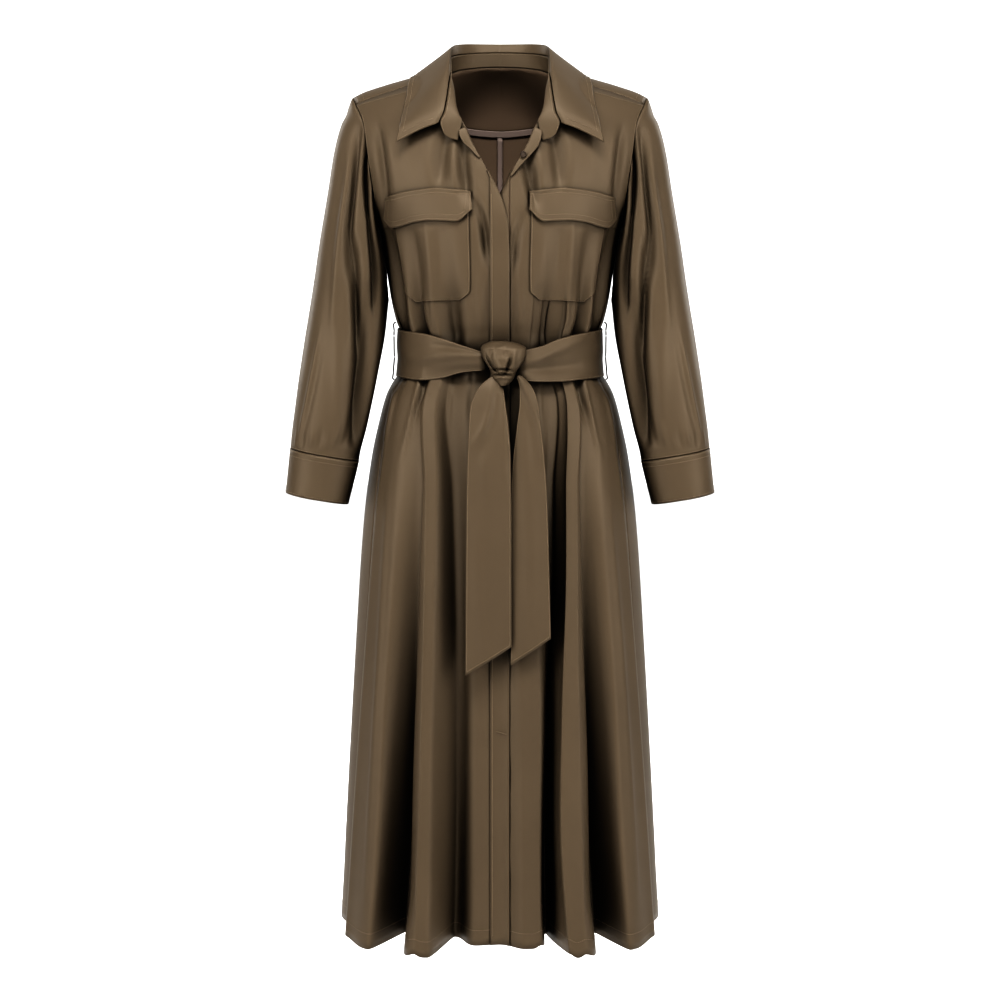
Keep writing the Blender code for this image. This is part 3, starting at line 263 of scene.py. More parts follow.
def cloth_finish(name, colour, roughness, sheen, gloss, grain, depth, dark=0.02):
    """A woven cloth: fine noise as bump, slow noise as a change of tone, and shade painted into its
    hollows.
    """
    made, tree, shader = shader_of(name, colour, roughness, sheen, gloss)
    place = add_node(tree, "TexCoord", {})
    slow = add_node(tree, "TexNoise", {"Scale": 9.0, "Detail": 3.0})
    tone = add_node(tree, "Mix", {"A": tinted(colour, 0.90), "B": tinted(colour, 1.10)}, data_type="RGBA")
    pebble = add_node(tree, "TexNoise", {"Scale": grain, "Detail": 4.0, "Roughness": 0.62})
    bump = add_node(tree, "Bump", {"Strength": 0.35, "Distance": depth})
    # Painted shade: ambient occlusion darkens the cloth's colour in its hollows and creases, down to the
    # share dark.
    hollow = add_node(tree, "AmbientOcclusion", {"Distance": 0.11}, samples=6)
    painted_shade_range = {"From Min": 0.24, "From Max": 0.86, "To Min": dark, "To Max": 1.0}
    painted_shade_curve = add_node(tree, "MapRange", painted_shade_range)
    shade = add_node(tree, "Mix", {"Factor": 1.0}, data_type="RGBA", blend_type="MULTIPLY")
    link = tree.links.new
    link(place.outputs["Object"], slow.inputs["Vector"])
    link(place.outputs["Object"], pebble.inputs["Vector"])
    link(slow.outputs["Fac"], tone.inputs["Factor"])
    link(hollow.outputs["AO"], painted_shade_curve.inputs["Value"])
    link(tone.outputs["Result"], shade.inputs["A"])
    link(painted_shade_curve.outputs["Result"], shade.inputs["B"])
    link(shade.outputs["Result"], shader.inputs["Base Color"])
    link(pebble.outputs["Fac"], bump.inputs["Height"])
    link(bump.outputs["Normal"], shader.inputs["Normal"])
    return made


SATIN_CREPE = cloth_finish("satin_crepe", SATIN, 0.52, 0.0, 0.17, 900.0, FINE_GRAIN)
print("nodes of the satin crepe:", len(SATIN_CREPE.node_tree.nodes))

# %% The finishes
FINISH = {
    "olive_satin_crepe": SATIN_CREPE,
    "taupe_binding": cloth_finish("binding_tape", TAPE, 0.75, 0.1, 0.3, 1200.0, 0.00025),
    "dark_thread": cloth_finish("carrier_thread", CARRIER, 0.8, 0.0, 0.3, 2200.0, FINE_GRAIN),
    "dark_button": shader_of("button_resin", RESIN, 0.5, gloss=0.2)[0],
}
# dark is how far the painted shade in hollows darkens these finishes.
WRONG_SIDE = cloth_finish("wrong_side", WRONG, 0.7, 0.0, 0.2, 900.0, FINE_GRAIN, dark=0.4)
STITCH = cloth_finish("stitch_thread", THREAD, 0.6, 0.1, 0.3, 2500.0, FINE_GRAIN, dark=0.5)
print("finishes:", ", ".join(FINISH))

# %% [markdown]
# ## Making a piece of cloth
# A piece is a grid of points on its outer face. `cloth` joins them into quads and lets Solidify give
# the thickness inwards, as the imported solids have it. It also hides the solid that the piece stands
# for.
# The back is seen from inside through the neck, so its inner face gets the wrong side's finish.

# %% From a grid to quads
WALL = 1.5 * MM
SEEN_INSIDE = ("back_yoke", "back_left", "back_right")


def faces_of(rows, columns, ring, flip):
    last = columns if ring else columns - 1
    r, c = np.meshgrid(np.arange(rows - 1), np.arange(last), indexing="ij")
    here, beside = r * columns + c, r * columns + (c + 1) % columns
    quads = np.stack([here, here + columns, beside + columns, beside], axis=-1).reshape(-1, 4)
    return quads[:, ::-1] if flip else quads


def mesh_of(name, points, quads, finish):
    mesh = bpy.data.meshes.new(name)
    mesh.from_pydata(points.reshape(-1, 3).tolist(), [], quads.tolist())
    mesh.materials.append(finish)
    mesh.shade_smooth()
    made = bpy.data.objects.new(name, mesh)
    bpy.context.scene.collection.objects.link(made)
    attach(made, "root")
    return made


print("quads of a grid of 3 by 4 points:", len(faces_of(3, 4, False, False)))


# %% Cloth with a thickness
def cloth(name, grid, node, wall=WALL, slot="olive_satin_crepe", ring=False, flip=False):
    """A piece of cloth from the grid of its outer face."""
    grid = np.asarray(grid, float)
    quads = faces_of(grid.shape[0], grid.shape[1], ring, flip)
    made = mesh_of(name, grid, quads, FINISH[slot])
    solid = made.modifiers.new("thickness", "SOLIDIFY")
    solid.thickness = wall
    solid.offset = -1.0
    if node in SEEN_INSIDE:
        made.data.materials.append(WRONG_SIDE)
        solid.material_offset = 1
    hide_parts(node)
    size = grid.reshape(-1, 3)
    print(name, "points:", len(size), "width mm:", round(float(np.ptp(size[:, 0])) * 1000))
    return made


def facing_of(grid, ring=False, flip=False):
    """Outward directions at the points of a grid."""
    down = np.gradient(grid, axis=0)
    if ring:
        along = np.roll(grid, -1, axis=1) - np.roll(grid, 1, axis=1)
    else:
        along = np.gradient(grid, axis=1)
    away = unit(np.cross(down, along))
    return -away if flip else away


print("wall mm:", WALL / MM)

# %% [markdown]
# ## Creases placed one by one
# Between its big folds, cloth has small soft creases: pulls towards a seam, slack beside a pocket, the
# start of a gather. Each row of a crease table is one of them, as a line on the cloth from one place to
# another, with a bow, a width and a height. A ridge has a positive height, a trough a negative one.

# %% Crease lines
CREASE_COLUMNS = "from_x from_z to_x to_z bow width height"


def creased(marks, x, z):
    """How far the creases of a table move the cloth out, at places given in millimetres."""
    total = np.zeros(np.broadcast(x, z).shape)
    for x0, z0, x1, z1, bow, width, height in zip(*(marks[key] for key in CREASE_COLUMNS.split())):
        length = math.hypot(x1 - x0, z1 - z0)
        dx, dz = (x1 - x0) / length, (z1 - z0) / length
        t = ((x - x0) * dx + (z - z0) * dz) / length
        off = (x - x0) * dz - (z - z0) * dx
        inside = np.clip(t, 0.0, 1.0)
        off = off - bow * 4.0 * inside * (1.0 - inside)
        over = (t - inside) * length
        taper = np.sqrt(np.clip(np.sin(math.pi * np.clip(t, 0.02, 0.98)), 0.0, 1.0))
        total += height * np.exp(-(off ** 2 + over ** 2) / width ** 2) * taper
    return total * MM


print("crease columns:", CREASE_COLUMNS)

# %% [markdown]
# ## The skin of the dress
# The body of the dress is one skin. Rings give its width and depth with no folds at all: shoulders and
# chest, the belted waist, and a skirt that widens evenly. A rounded oval with a power a little above 2
# is squarer than an ellipse, as a worn dress is across the chest and back. Above the underarm the
# front and back come together over the shoulder line.

# %% Rings
UNDERARM = -0.211         # underarm point
HEM = -1.190              # hem at the side
OVAL = 2.15               # 2 is an ellipse, more is squarer
ROUNDING = 0.090          # drop over which the shoulder turns down into front and back

RINGS = table("height half_width front back", [
    (0.040, 0.2260, 0.070, 0.090),
    (-0.030, 0.2220, 0.080, 0.094),
    (-0.085, 0.2130, 0.094, 0.102),
    (-0.141, 0.1950, 0.109, 0.108),
    (-0.211, 0.1675, 0.119, 0.110),
    (-0.269, 0.1570, 0.118, 0.106),
    (-0.309, 0.1508, 0.112, 0.099),
    (-0.338, 0.1440, 0.105, 0.092),
    (-0.352, 0.1390, 0.101, 0.088),
    (-0.385, 0.1375, 0.099, 0.087),
    (-0.410, 0.1410, 0.101, 0.089),
    (-0.425, 0.1500, 0.106, 0.096),
    (-0.442, 0.1582, 0.111, 0.103),
    (-0.476, 0.1675, 0.116, 0.112),
    (-0.526, 0.1782, 0.121, 0.122),
    (-0.616, 0.1899, 0.126, 0.132),
    (-0.786, 0.2021, 0.131, 0.141),
    (-1.016, 0.2162, 0.136, 0.149),
    (-1.190, 0.2258, 0.140, 0.154),
])
print("rings:", len(RINGS["height"]))

# %% The plain skin
SHOULDER = table("x height", [
    (0.000, 0.0370), (0.030, 0.0310), (0.055, 0.0175), (0.075, 0.0030), (0.110, -0.0014),
    (0.143, -0.0096), (0.165, -0.0162), (0.189, -0.0243), (0.2020, -0.0310), (0.226, -0.0430),
])


def shoulder_line(x):
    """Height of the shoulder line at a distance from the centre."""
    return read(SHOULDER, "height", np.abs(x))


def plain(degrees, height):
    """Points of the body with no folds, and their outward directions seen from above."""
    degrees, height = np.broadcast_arrays(np.asarray(degrees, float), np.asarray(height, float))
    turn = np.radians(degrees)
    width = read(RINGS, "half_width", height)
    deep = np.where(np.abs(degrees) <= 90.0, read(RINGS, "front", height), read(RINGS, "back", height))
    x = width * power(np.sin(turn), 2.0 / OVAL)
    y = -deep * power(np.cos(turn), 2.0 / OVAL)
    share = np.clip((shoulder_line(x) - height) / ROUNDING, 0.0, 1.0)
    y = y * np.sqrt(share * (2.0 - share))
    outward = unit(np.stack([x / width ** 2, y / deep ** 2, np.zeros_like(x)], axis=-1))
    return np.stack([x, y, height], axis=-1), outward


def degrees_at(x, height):
    """Degrees around of the front or back point at a distance from the centre."""
    share = np.clip(np.abs(x) / read(RINGS, "half_width", height), 0.0, 1.0)
    return np.degrees(np.arcsin(share ** (OVAL / 2.0)))


print("waist round mm:", round(math.pi * 1000 * (0.1375 + 0.093)))

# %% [markdown]
# ## The folds of the skirt and bodice
# Cloth gathered under a belt falls in deep rounded pleats. Each row of the tables is a fold line: a
# ridge where it stands out, a hollow where it goes in. The first table of a side gives the line's place,
# in degrees round from the centre front. The second gives its reach out of the ring, in millimetres.
# Both give them at the eleven heights of LEVELS, from the chest to the hem.
# Between two lines the skin goes over in a half wave. A crisp line is a pressed-looking edge: the wave
# arrives at it without easing off, so the two sides meet at an angle, and the flanks of a deep fold roll
# under a little. No two folds are alike, so left and right have tables of their own.

# %% Fold lines of the left side
LEVELS = np.array(
    [-0.185, -0.235, -0.285, -0.330, -0.385, -0.430, -0.560, -0.700, -0.860, -1.030, -1.190])
PLACE_COLUMNS = "around fade chest rib above belt below hip thigh knee shin hem"
REACH_COLUMNS = PLACE_COLUMNS + " crisp"
LEFT_PLACES = table(PLACE_COLUMNS, [
    (0, 0, 0, 0, 0, 0, 0, 0, 0, 0, 0, 0),
    (1, 13.7, 13.7, 13.6, 13.6, 13.5, 10.6, 7.9, 7.5, 7.4, 7.4, 7.4),
    (1.6, 18, 18, 18, 18, 16.3, 15.4, 13, 12.7, 14.1, 13.2, 12.6),
    (2, 26, 26, 26, 26, 28, 29.1, 23.4, 21.7, 18.5, 17.4, 17),
    (2.6, 34.5, 34.5, 34.9, 35.5, 33.6, 32.7, 26.5, 24, 20.8, 18.9, 20.5),
    (3, 38.2, 38.2, 38.9, 40.1, 39.7, 39.6, 31.5, 28.7, 26.9, 25.9, 25.6),
    (4, 46, 46, 46, 46, 43.7, 42.5, 34.9, 34, 34.8, 35.9, 38.5),
    (5, 55, 55, 54.7, 54.3, 54.4, 54.5, 46.4, 44.7, 44.2, 43.3, 44.1),
    (5.5, 68, 68, 67.5, 66.6, 66, 62.7, 59.6, 59.1, 59, 59, 59),
    (6, 86, 86, 83.4, 79, 76, 72.2, 68.7, 68.1, 68, 68, 68),
    (7, 100, 100, 99, 97.2, 96, 94.1, 92.3, 92, 92, 92, 92),
    (8, 112, 112, 111, 109.2, 108, 107.5, 107.1, 107, 107, 107, 107),
    (8.6, 120, 120, 119.2, 117.9, 117, 116.5, 116.1, 116, 116, 116, 116),
    (9, 126, 126, 125, 123.2, 122, 122, 122, 122, 122, 122, 122),
    (10, 140, 140, 139.2, 137.9, 137, 136.5, 136.1, 136, 136, 136, 136),
    (10.7, 152, 152, 151.5, 150.6, 150, 149.1, 148.2, 148, 148, 148, 148),
    (11, 158, 158, 157.5, 156.6, 156, 155.1, 154.2, 154, 154, 154, 154),
    (12, 180, 180, 180, 180, 180, 180, 180, 180, 180, 180, 180),
])
LEFT_REACHES = table(REACH_COLUMNS, [
    (0, 0, 0, 0, 0, 0, -0.8, -2.3, -4, -6, -8.1, -10, 0),
    (1, 0, 0.8, 1, 1.5, 2, 2.8, 3.4, 4, 4.7, 5.4, 6, 0),
    (1.6, 0, 0.5, -1.5, -3, 1, 1, 1, 2, 4, 6, 8, 1),
    (2, 0, -1.5, -5, -13, -8, -5, -12, -20, -29, -37, -42, 0),
    (2.6, 0, 1.7, 2, 4.6, 3.8, 3.6, 8, 14, 22, 32, 40, 1),
    (3, 0, 2, 2.2, 4.8, 4.5, 5, 10, 16, 25, 35, 45, 1),
    (4, 0, -1.8, -4.5, -11, -7, 1.5, 1, -6, -16, -26, -32, 0),
    (5, 0, 1.8, 2.5, 5.5, 5, 3.5, 8, 13, 20, 28, 36, 0),
    (5.5, 0, -1.2, -3, -4, -3, 2, 5.5, 9.5, 14.5, 20, 25, 0),
    (6, 0, 0, -0.3, -0.7, -1, -2.5, -3.1, -3.3, -3.6, -3.8, -4, 0),
    (7, 0, 0, 0.1, 0.3, 0.5, 0.9, 0.9, 0.7, 0.4, 0.2, 0, 0),
    (8, 0, -0.8, -1.3, -2.3, -3, -5.3, -9, -12.8, -17.1, -21.7, -26, 0),
    (8.6, 0, 0.8, 1.3, 2.1, 2.6, 5.6, 9.1, 12.4, 16.2, 20.2, 24, 1),
    (9, 0, 1, 1.5, 2.4, 3, 6.9, 11.3, 15.4, 20.2, 25.2, 30, 0),
    (10, 0, -1, -1.6, -2.7, -3.5, -6.2, -10.4, -14.8, -19.7, -25, -30, 0),
    (10.7, 0, 1.1, 1.6, 2.4, 3, 6.1, 9.7, 13.1, 17, 21.1, 25, 1),
    (11, 0, 1.2, 1.8, 2.8, 3.5, 7, 10.8, 14.4, 18.5, 22.9, 27, 0),
    (12, 0, -0.5, -0.9, -1.5, -2, -3.5, -5.5, -7.4, -9.5, -11.8, -14, 0),
])
print("fold lines on the left:", len(LEFT_PLACES["around"]))

# %% Fold lines of the right side
RIGHT_PLACES = table(PLACE_COLUMNS, [
    (0, 0, 0, 0, 0, 0, 0, 0, 0, 0, 0, 0),
    (1, 13.7, 13.7, 14.2, 15, 15.5, 11.8, 8.2, 7.7, 7.6, 7.6, 7.6),
    (2, 25.5, 25.5, 25.6, 25.8, 25.9, 26, 19.6, 17.2, 16.1, 15.6, 16.1),
    (3, 34, 34, 34.1, 34.3, 32.5, 31.7, 25.6, 24.5, 23.8, 22.8, 21.5),
    (3.4, 37.5, 37.5, 38.3, 39.6, 38.6, 38.1, 30.1, 27.9, 26.8, 25.9, 25.7),
    (4, 44, 44, 44.3, 44.7, 43, 42.2, 34.3, 33.5, 34.2, 35.7, 38.9),
    (5, 54, 54, 54, 54, 55.6, 56.5, 47, 45.3, 44.7, 43.8, 44.8),
    (5.5, 68, 68, 67.2, 65.9, 65, 62.2, 59.5, 59.1, 59, 59, 59),
    (6, 86, 86, 83.4, 79, 76, 72.2, 68.7, 68.1, 68, 68, 68),
    (7, 100, 100, 99.2, 97.9, 97, 94.2, 91.5, 91.1, 91, 91, 91),
    (8, 113, 113, 112.2, 110.9, 110, 107.6, 105.4, 105.1, 105, 105, 105),
    (8.6, 121, 121, 120.2, 118.9, 118, 116.1, 114.3, 114, 114, 114, 114),
    (9, 127, 127, 126, 124.2, 123, 121.6, 120.2, 120, 120, 120, 120),
    (10, 142, 142, 141.2, 139.9, 139, 138.5, 138.1, 138, 138, 138, 138),
    (11, 160, 160, 159.2, 157.9, 157, 157, 157, 157, 157, 157, 157),
    (12, 180, 180, 180, 180, 180, 180, 180, 180, 180, 180, 180),
])
RIGHT_REACHES = table(REACH_COLUMNS, [
    (0, 0, 0, 0, 0, 0, -0.8, -2.3, -4, -6, -8.1, -10, 0),
    (1, 0, 0.8, 1.5, 2.5, 2, 2.8, 1.8, 0.3, -1.4, -3.3, -5, 0),
    (2, 0, -1.5, -5, -13, -8, -5, -10, -15, -20, -26, -32, 0),
    (3, 0, 1.8, 2, 4.5, 4.2, 4, 8, 14, 21, 30, 40, 0),
    (3.4, 0, 2, 2, 4.5, 4.5, 5, 10, 16, 24, 34, 44, 1),
    (4, 0, -1.8, -4.5, -11, -7, 1.5, 1, -6, -17, -28, -34, 0),
    (5, 0, 1.8, 2.5, 5.5, 5, 3.5, 8, 13, 20, 28, 35, 0),
    (5.5, 0, -1.5, -3, -4, -3, 2, 5.5, 9.5, 14.5, 20, 25, 0),
    (6, 0, 0, -0.3, -0.7, -1, -2.5, -3.1, -3.3, -3.6, -3.8, -4, 0),
    (7, 0, 0, 0.1, 0.3, 0.5, 0.9, 0.9, 0.7, 0.4, 0.2, 0, 0),
    (8, 0, -0.8, -1.3, -2.3, -3, -6.1, -9.5, -12.7, -16.4, -20.3, -24, 0),
    (8.6, 0, 0.8, 1.2, 1.9, 2.4, 5.6, 9.4, 13.1, 17.3, 21.8, 26, 1),
    (9, 0, 1, 1.5, 2.4, 3, 6.9, 11.4, 15.8, 20.7, 26, 31, 0),
    (10, 0, -1, -1.6, -2.7, -3.5, -5.4, -9.9, -14.8, -20.4, -26.4, -32, 0),
    (11, 0, 1.2, 1.8, 2.8, 3.5, 7, 10.4, 13.4, 16.9, 20.5, 24, 1),
    (12, 0, -0.5, -0.9, -1.5, -2, -3.5, -5.5, -7.4, -9.5, -11.8, -14, 0),
])
FOLDS = {1: (LEFT_PLACES, LEFT_REACHES), -1: (RIGHT_PLACES, RIGHT_REACHES)}
print("fold lines on the right:", len(RIGHT_PLACES["around"]))

# %% Reading the fold lines
FINE = np.linspace(LEVELS[0], LEVELS[-1], 500)


def finely(chart):
    """The lines of a fold table, read at the many heights of FINE."""
    columns = [chart[name] for name in PLACE_COLUMNS.split()[1:]]
    lines = np.stack(columns, axis=1)
    return np.array([read({"height": LEVELS, "value": line}, "value", FINE) for line in lines])


FINE_PLACES = {side: finely(FOLDS[side][0]) for side in (1, -1)}
FINE_REACHES = {side: finely(FOLDS[side][1]) for side in (1, -1)}


def folds_of(side):
    return FOLDS[side][1]


def fold_line(side, i, height):
    """Degrees around and reach outwards (metres) of the fold lines in rows i, at heights."""
    step = (LEVELS[0] - np.asarray(height, float)) / (LEVELS[0] - LEVELS[-1]) * (len(FINE) - 1)
    step = np.clip(step, 0.0, len(FINE) - 1.001)
    j = step.astype(int)
    places, reaches = FINE_PLACES[side], FINE_REACHES[side]
    degrees = mix(places[i, j], places[i, j + 1], step - j)
    return degrees, mix(reaches[i, j], reaches[i, j + 1], step - j) * MM


def count_places(side, counts):
    """Which fold lines a fold count lies between, and how far along."""
    around = folds_of(side)["around"]
    i = np.clip(np.searchsorted(around, counts, side="right") - 1, 0, len(around) - 2)
    return i, (counts - around[i]) / (around[i + 1] - around[i])


print("reach of a left fold at the hem, mm:", round(float(fold_line(1, 5, HEM)[1]) / MM))

# %% [markdown]
# ## Waves, rolls and the hem line
# Real folds are neither sine waves nor zigzags. A fold that was pressed keeps a crease at its edge, while
# one that only hangs is round. A deep fold leans over its own hollow, and that overhang throws the dark
# lines down a long skirt. Sculpting could make each one, but three short formulas over the same
# fold lines do it for all of them, and they fade out near the hem, where cloth relaxes.

# %% Waves and rolls
FADE = -0.185             # where the folds have died out, going up
BELOW = -0.450            # where the skirt folds are fresh from the belt
ROLL = 0.30               # how far a deep fold's flanks roll under, as a share of its width
SOFT_ROLL = 0.06          # the same for a fold with no crisp edge
UNROLL_FROM = -0.90       # where the folds begin to open, going down
HEM_UNROLL = 0.65         # how much of the roll is gone at the hem
CRISP_SHARE = 0.8         # how sharp the edge of a crisp line is, beside a soft one
SOFT_HEM = 0.09           # height above the hem over which a crisp edge goes soft
HEM_SHAPING = 0.08        # height above the hem over which its line is shaped
CORNER_RISE = 0.0055      # a crisp fold's hem is rounded off by this much
CORNER_WIDTH = 0.006
SIDE_RISE = 0.009         # the hem is this much shorter at the side seams
SIDE_FROM = 0.84          # where that begins, as a share of the half width
HEM_DIP = 0.15            # how far a ridge's hem hangs lower, as a share of its reach


def wave_over(crisp, i, t, level):
    """How far the skin has gone over from fold line i to the next, at t between them."""
    wave = 0.5 - 0.5 * np.cos(math.pi * t)
    leaving = np.sin(math.pi * t / 2.0)
    arriving = 1.0 - np.cos(math.pi * t / 2.0)
    sharp = np.where(crisp[i] & crisp[i + 1], t, wave)
    sharp = np.where(crisp[i] & ~crisp[i + 1], mix(wave, leaving, CRISP_SHARE), sharp)
    sharp = np.where(crisp[i + 1] & ~crisp[i], mix(wave, arriving, CRISP_SHARE), sharp)
    return mix(sharp, wave, ease((HEM + SOFT_HEM - level) / SOFT_HEM))


def flank_roll(crisp, i, t, level, span, rise):
    """How far a flank rolls under its ridge, sideways."""
    steep = np.minimum(np.abs(rise) / np.maximum(span, 0.001), 1.0)
    rolled = np.where(crisp[i] | crisp[i + 1], ROLL, SOFT_ROLL)
    rolled = rolled * (1.0 - HEM_UNROLL * ease((UNROLL_FROM - level) / (UNROLL_FROM - HEM)))
    roll = rolled * span * steep * np.sin(2.0 * math.pi * t)
    return np.where(rise > 0.0, -roll, roll)


def hem_rise(crisp, i, t, level, span, x):
    """How much the hem is shaped up: rounded at crisp folds, and shorter at the side seams."""
    before = np.exp(-(span * t / CORNER_WIDTH) ** 2) * crisp[i]
    after = np.exp(-(span * (1.0 - t) / CORNER_WIDTH) ** 2) * crisp[i + 1]
    sideways_share = np.abs(x) / read(RINGS, "half_width", level)
    side = SIDE_RISE * ease((sideways_share - SIDE_FROM) / (1.0 - SIDE_FROM))
    near_hem = ease((HEM + HEM_SHAPING - level) / HEM_SHAPING)
    return near_hem * (CORNER_RISE * np.maximum(before, after) + side)


print("roll of a crisp fold, share of its width:", ROLL)


# %% The skin
def skin(around, height):
    """The outer face of the dress body at counts of folds (minus on the right) and heights."""
    around, height = np.broadcast_arrays(np.asarray(around, float), np.asarray(height, float))
    made = np.zeros(around.shape + (3,))
    for side in (1, -1):
        mine = around >= 0 if side > 0 else around < 0
        if not mine.any():
            continue
        level = height[mine]
        crisp = folds_of(side)["crisp"] > 0
        i, t = count_places(side, np.minimum(np.abs(around[mine]), 12.0))
        here, out_here = fold_line(side, i, level)
        there, out_there = fold_line(side, i + 1, level)
        span = read(RINGS, "half_width", level) * np.radians(there - here)
        out = mix(out_here, out_there, wave_over(crisp, i, t, level))
        roll = flank_roll(crisp, i, t, level, span, out_there - out_here)
        point, outward = plain(side * mix(here, there, t), level)
        sideways = np.stack([-outward[:, 1], outward[:, 0], np.zeros(len(level))], axis=-1)
        point = point + outward * out[:, None] + sideways * (side * roll)[:, None]
        point[:, 2] -= HEM_DIP * out * ease((BELOW - level) / (BELOW - HEM))
        point[:, 2] += hem_rise(crisp, i, t, level, span, point[:, 0])
        made[mine] = point
    return made


def degrees_of(side, count, height):
    """Degrees around of a fold count at a height, before any roll."""
    i, t = count_places(side, count)
    return mix(fold_line(side, i, height)[0], fold_line(side, i + 1, height)[0], t)


def count_at(side, degrees, height):
    """The fold count at some degrees around, near the centre front."""
    return np.abs(degrees) / fold_line(side, 1, height)[0]


print("hem in the centre front, mm:", round(float(skin(0.0, HEM)[2]) / MM))

# %% [markdown]
# ## Fronts
# Each front is cut from the shoulder yoke to the hem, open down the centre where the placket is sewn
# on, and with the armhole as its outer edge. Its neck edge runs down a long V, because the top of the
# dress is worn open. A fine grid follows the same lines as the solid's coarse one.

# %% Edges of the pieces
GAP = 0.1 * MM            # between neighbouring pieces at a seam
SHOULDER_DROP = 0.031     # shoulder tip below the neck point
ROUNDING_STEP = 0.0015    # drop for each degree of turn below the rounding
NECK_SEAM_X = 0.0790      # the neck seam at the front end of the yoke, from the centre
YOKE_FRONT_DROP = 0.011   # yoke seam below the shoulder line, in front
FRONT_TOP = -0.012        # where the neck edge of the front begins
PLACKET_STITCH = 0.0126   # placket seam from the centre
SIDE_SEAM = 86.0          # degrees around, at the underarm
FRONT_COLUMNS = 19        # columns of points for each fold count
BACK_COLUMNS = 10

NECK_FRONT = table("height x", [
    (-0.012, 0.0790), (-0.030, 0.0765), (-0.050, 0.0670), (-0.066, 0.0505), (-0.096, 0.0363),
    (-0.108, 0.0300), (-0.130, 0.0178), (-0.144, 0.0126), (-0.250, 0.0126),
])
ARMHOLE = table("height x", [
    (-0.031, 0.2020), (-0.041, 0.1975), (-0.065, 0.1870), (-0.120, 0.1790), (-0.150, 0.1745),
    (-0.185, 0.1700), (-0.211, 0.1675),
])
print("neck edge, rows of its table:", len(NECK_FRONT["x"]))

# %% Turning over the shoulder
YOKE_FRONT_TURN = 28.0    # degrees from the top of the armhole to the yoke seam in front
YOKE_BACK_TURN = 56.0     # and behind


def armhole(turn):
    """Degrees around and heights of the armhole, at turns down its back, or minus down its front."""
    turn = np.asarray(turn, float)
    middle, half = (UNDERARM - SHOULDER_DROP) / 2.0, (-SHOULDER_DROP - UNDERARM) / 2.0
    height = middle + half * np.cos(np.radians(turn))
    degrees = degrees_at(read(ARMHOLE, "x", height), height)
    degrees = np.where(turn > 0, 180.0 - degrees, degrees)
    return np.where(np.abs(turn) >= 179.9, 90.0, degrees), height


def turn_over(drop):
    """Turn over the shoulder (degrees) at a drop below the shoulder line, in even steps of cloth."""
    near = np.degrees(np.arccos(np.clip(1.0 - np.maximum(drop, 0.0) / ROUNDING, -1.0, 1.0)))
    return np.where(drop > ROUNDING, 90.0 + (drop - ROUNDING) / ROUNDING_STEP, near)


def drop_at(turn):
    """Drop below the shoulder line at a turn over it."""
    turn = np.abs(turn)
    near = ROUNDING * (1.0 - np.cos(np.radians(turn)))
    return np.where(turn > 90.0, ROUNDING + ROUNDING_STEP * (turn - 90.0), near)


def front_seam(share):
    """The yoke seam in front, from the neck (0) to the armhole (1): distance and turn."""
    _, height = armhole(-YOKE_FRONT_TURN)
    x = read(ARMHOLE, "x", height)
    end = turn_over(shoulder_line(x) - height)
    return mix(NECK_SEAM_X, x, share), mix(turn_over(YOKE_FRONT_DROP), end, share)


SKIRT_ROWS = -spaced(
    0.2145, 8, 0.272, 8, 0.336, 6, 0.372, 6, 0.405, 10, 0.450, 12, 0.560, 24, 0.830, 34, 1.190)
print("rows below the underarm:", len(SKIRT_ROWS))

# %% Creases of the fronts
# Pulls round the armhole and off the flaps, slack beside the placket, and puckers at the belt.
CREASES = {1: table(CREASE_COLUMNS, [
    (158, -52, 148, -190, 3, 9, 2.2), (166, -70, 156, -210, 2, 6, -6.0),
    (132, -62, 124, -150, 2, 12, 1.0), (30, -100, 46, -182, -3, 8, -11),
    (48, -100, 56, -160, -2, 6, 2.6), (70, -74, 80, -156, -3, 9, -9),
    (92, -80, 96, -150, -2, 10, 1.2), (36, -176, 22, -236, 4, 6, 2.4),
    (32, -186, 17, -270, 3, 6, -8), (166, -196, 146, -240, 3, 6, 1.6),
    (160, -190, 133, -352, 4, 7, -10.0), (98, -196, 92, -345, 2, 3.5, 2.2),
    (118, -212, 110, -312, 4, 8, -2.2), (80, -206, 78, -300, 1, 6, -1.6),
    (60, -206, 56, -302, 2, 10, 1.4), (30, -285, 26, -350, 1, 5, 1.8),
    (21, -270, 18, -350, 0, 4, -2.4), (110, -385, 138, -520, 2, 2.6, 3.6),
    (101, -385, 120, -470, 2, 3.6, -7.5), (139, -385, 166, -520, 2, 2.8, 3.4),
    (52, -385, 56, -480, 1, 3.0, 1.8), (36, -385, 40, -470, 1, 4, -1.6),
    (150, -580, 190, -1160, -3, 3.5, 2.4), (20, -560, 34, -900, 8, 14, 0.8),
]), -1: table(CREASE_COLUMNS, [
    (-158, -50, -140, -184, -3, 9, 2.2), (-166, -68, -154, -206, -2, 6, -6.0),
    (-134, -60, -122, -146, -2, 12, 1.0), (-50, -86, -42, -172, 3, 8, -10),
    (-60, -96, -60, -160, 2, 5, 2.6), (-72, -80, -80, -152, 3, 9, -8.5),
    (-98, -84, -100, -150, 2, 10, 1.2), (-34, -150, -24, -214, -3, 7, 1.6),
    (-32, -168, -18, -256, -3, 6, -9), (-166, -196, -148, -236, -3, 6, 1.6),
    (-160, -190, -133, -352, -4, 7, -10.0), (-100, -196, -92, -345, -2, 3.5, 2.2),
    (-116, -212, -106, -306, -4, 8, -2.2), (-84, -206, -80, -300, -1, 6, -1.8),
    (-62, -206, -58, -300, -2, 10, 1.4), (-30, -280, -26, -350, -1, 5, 1.8),
    (-19, -270, -17, -350, 0, 4, -1.6), (-104, -385, -138, -525, -2, 2.6, 3.6),
    (-96, -385, -120, -470, -2, 3.6, -6.0), (-137, -385, -164, -515, -2, 2.8, 3.4),
    (-66, -385, -70, -480, -1, 3.0, 1.6), (-38, -385, -42, -470, -1, 4, -1.6),
    (-153, -560, -187, -1160, 0, 3.5, 2.4), (-24, -560, -36, -900, -8, 14, -0.8),
])}
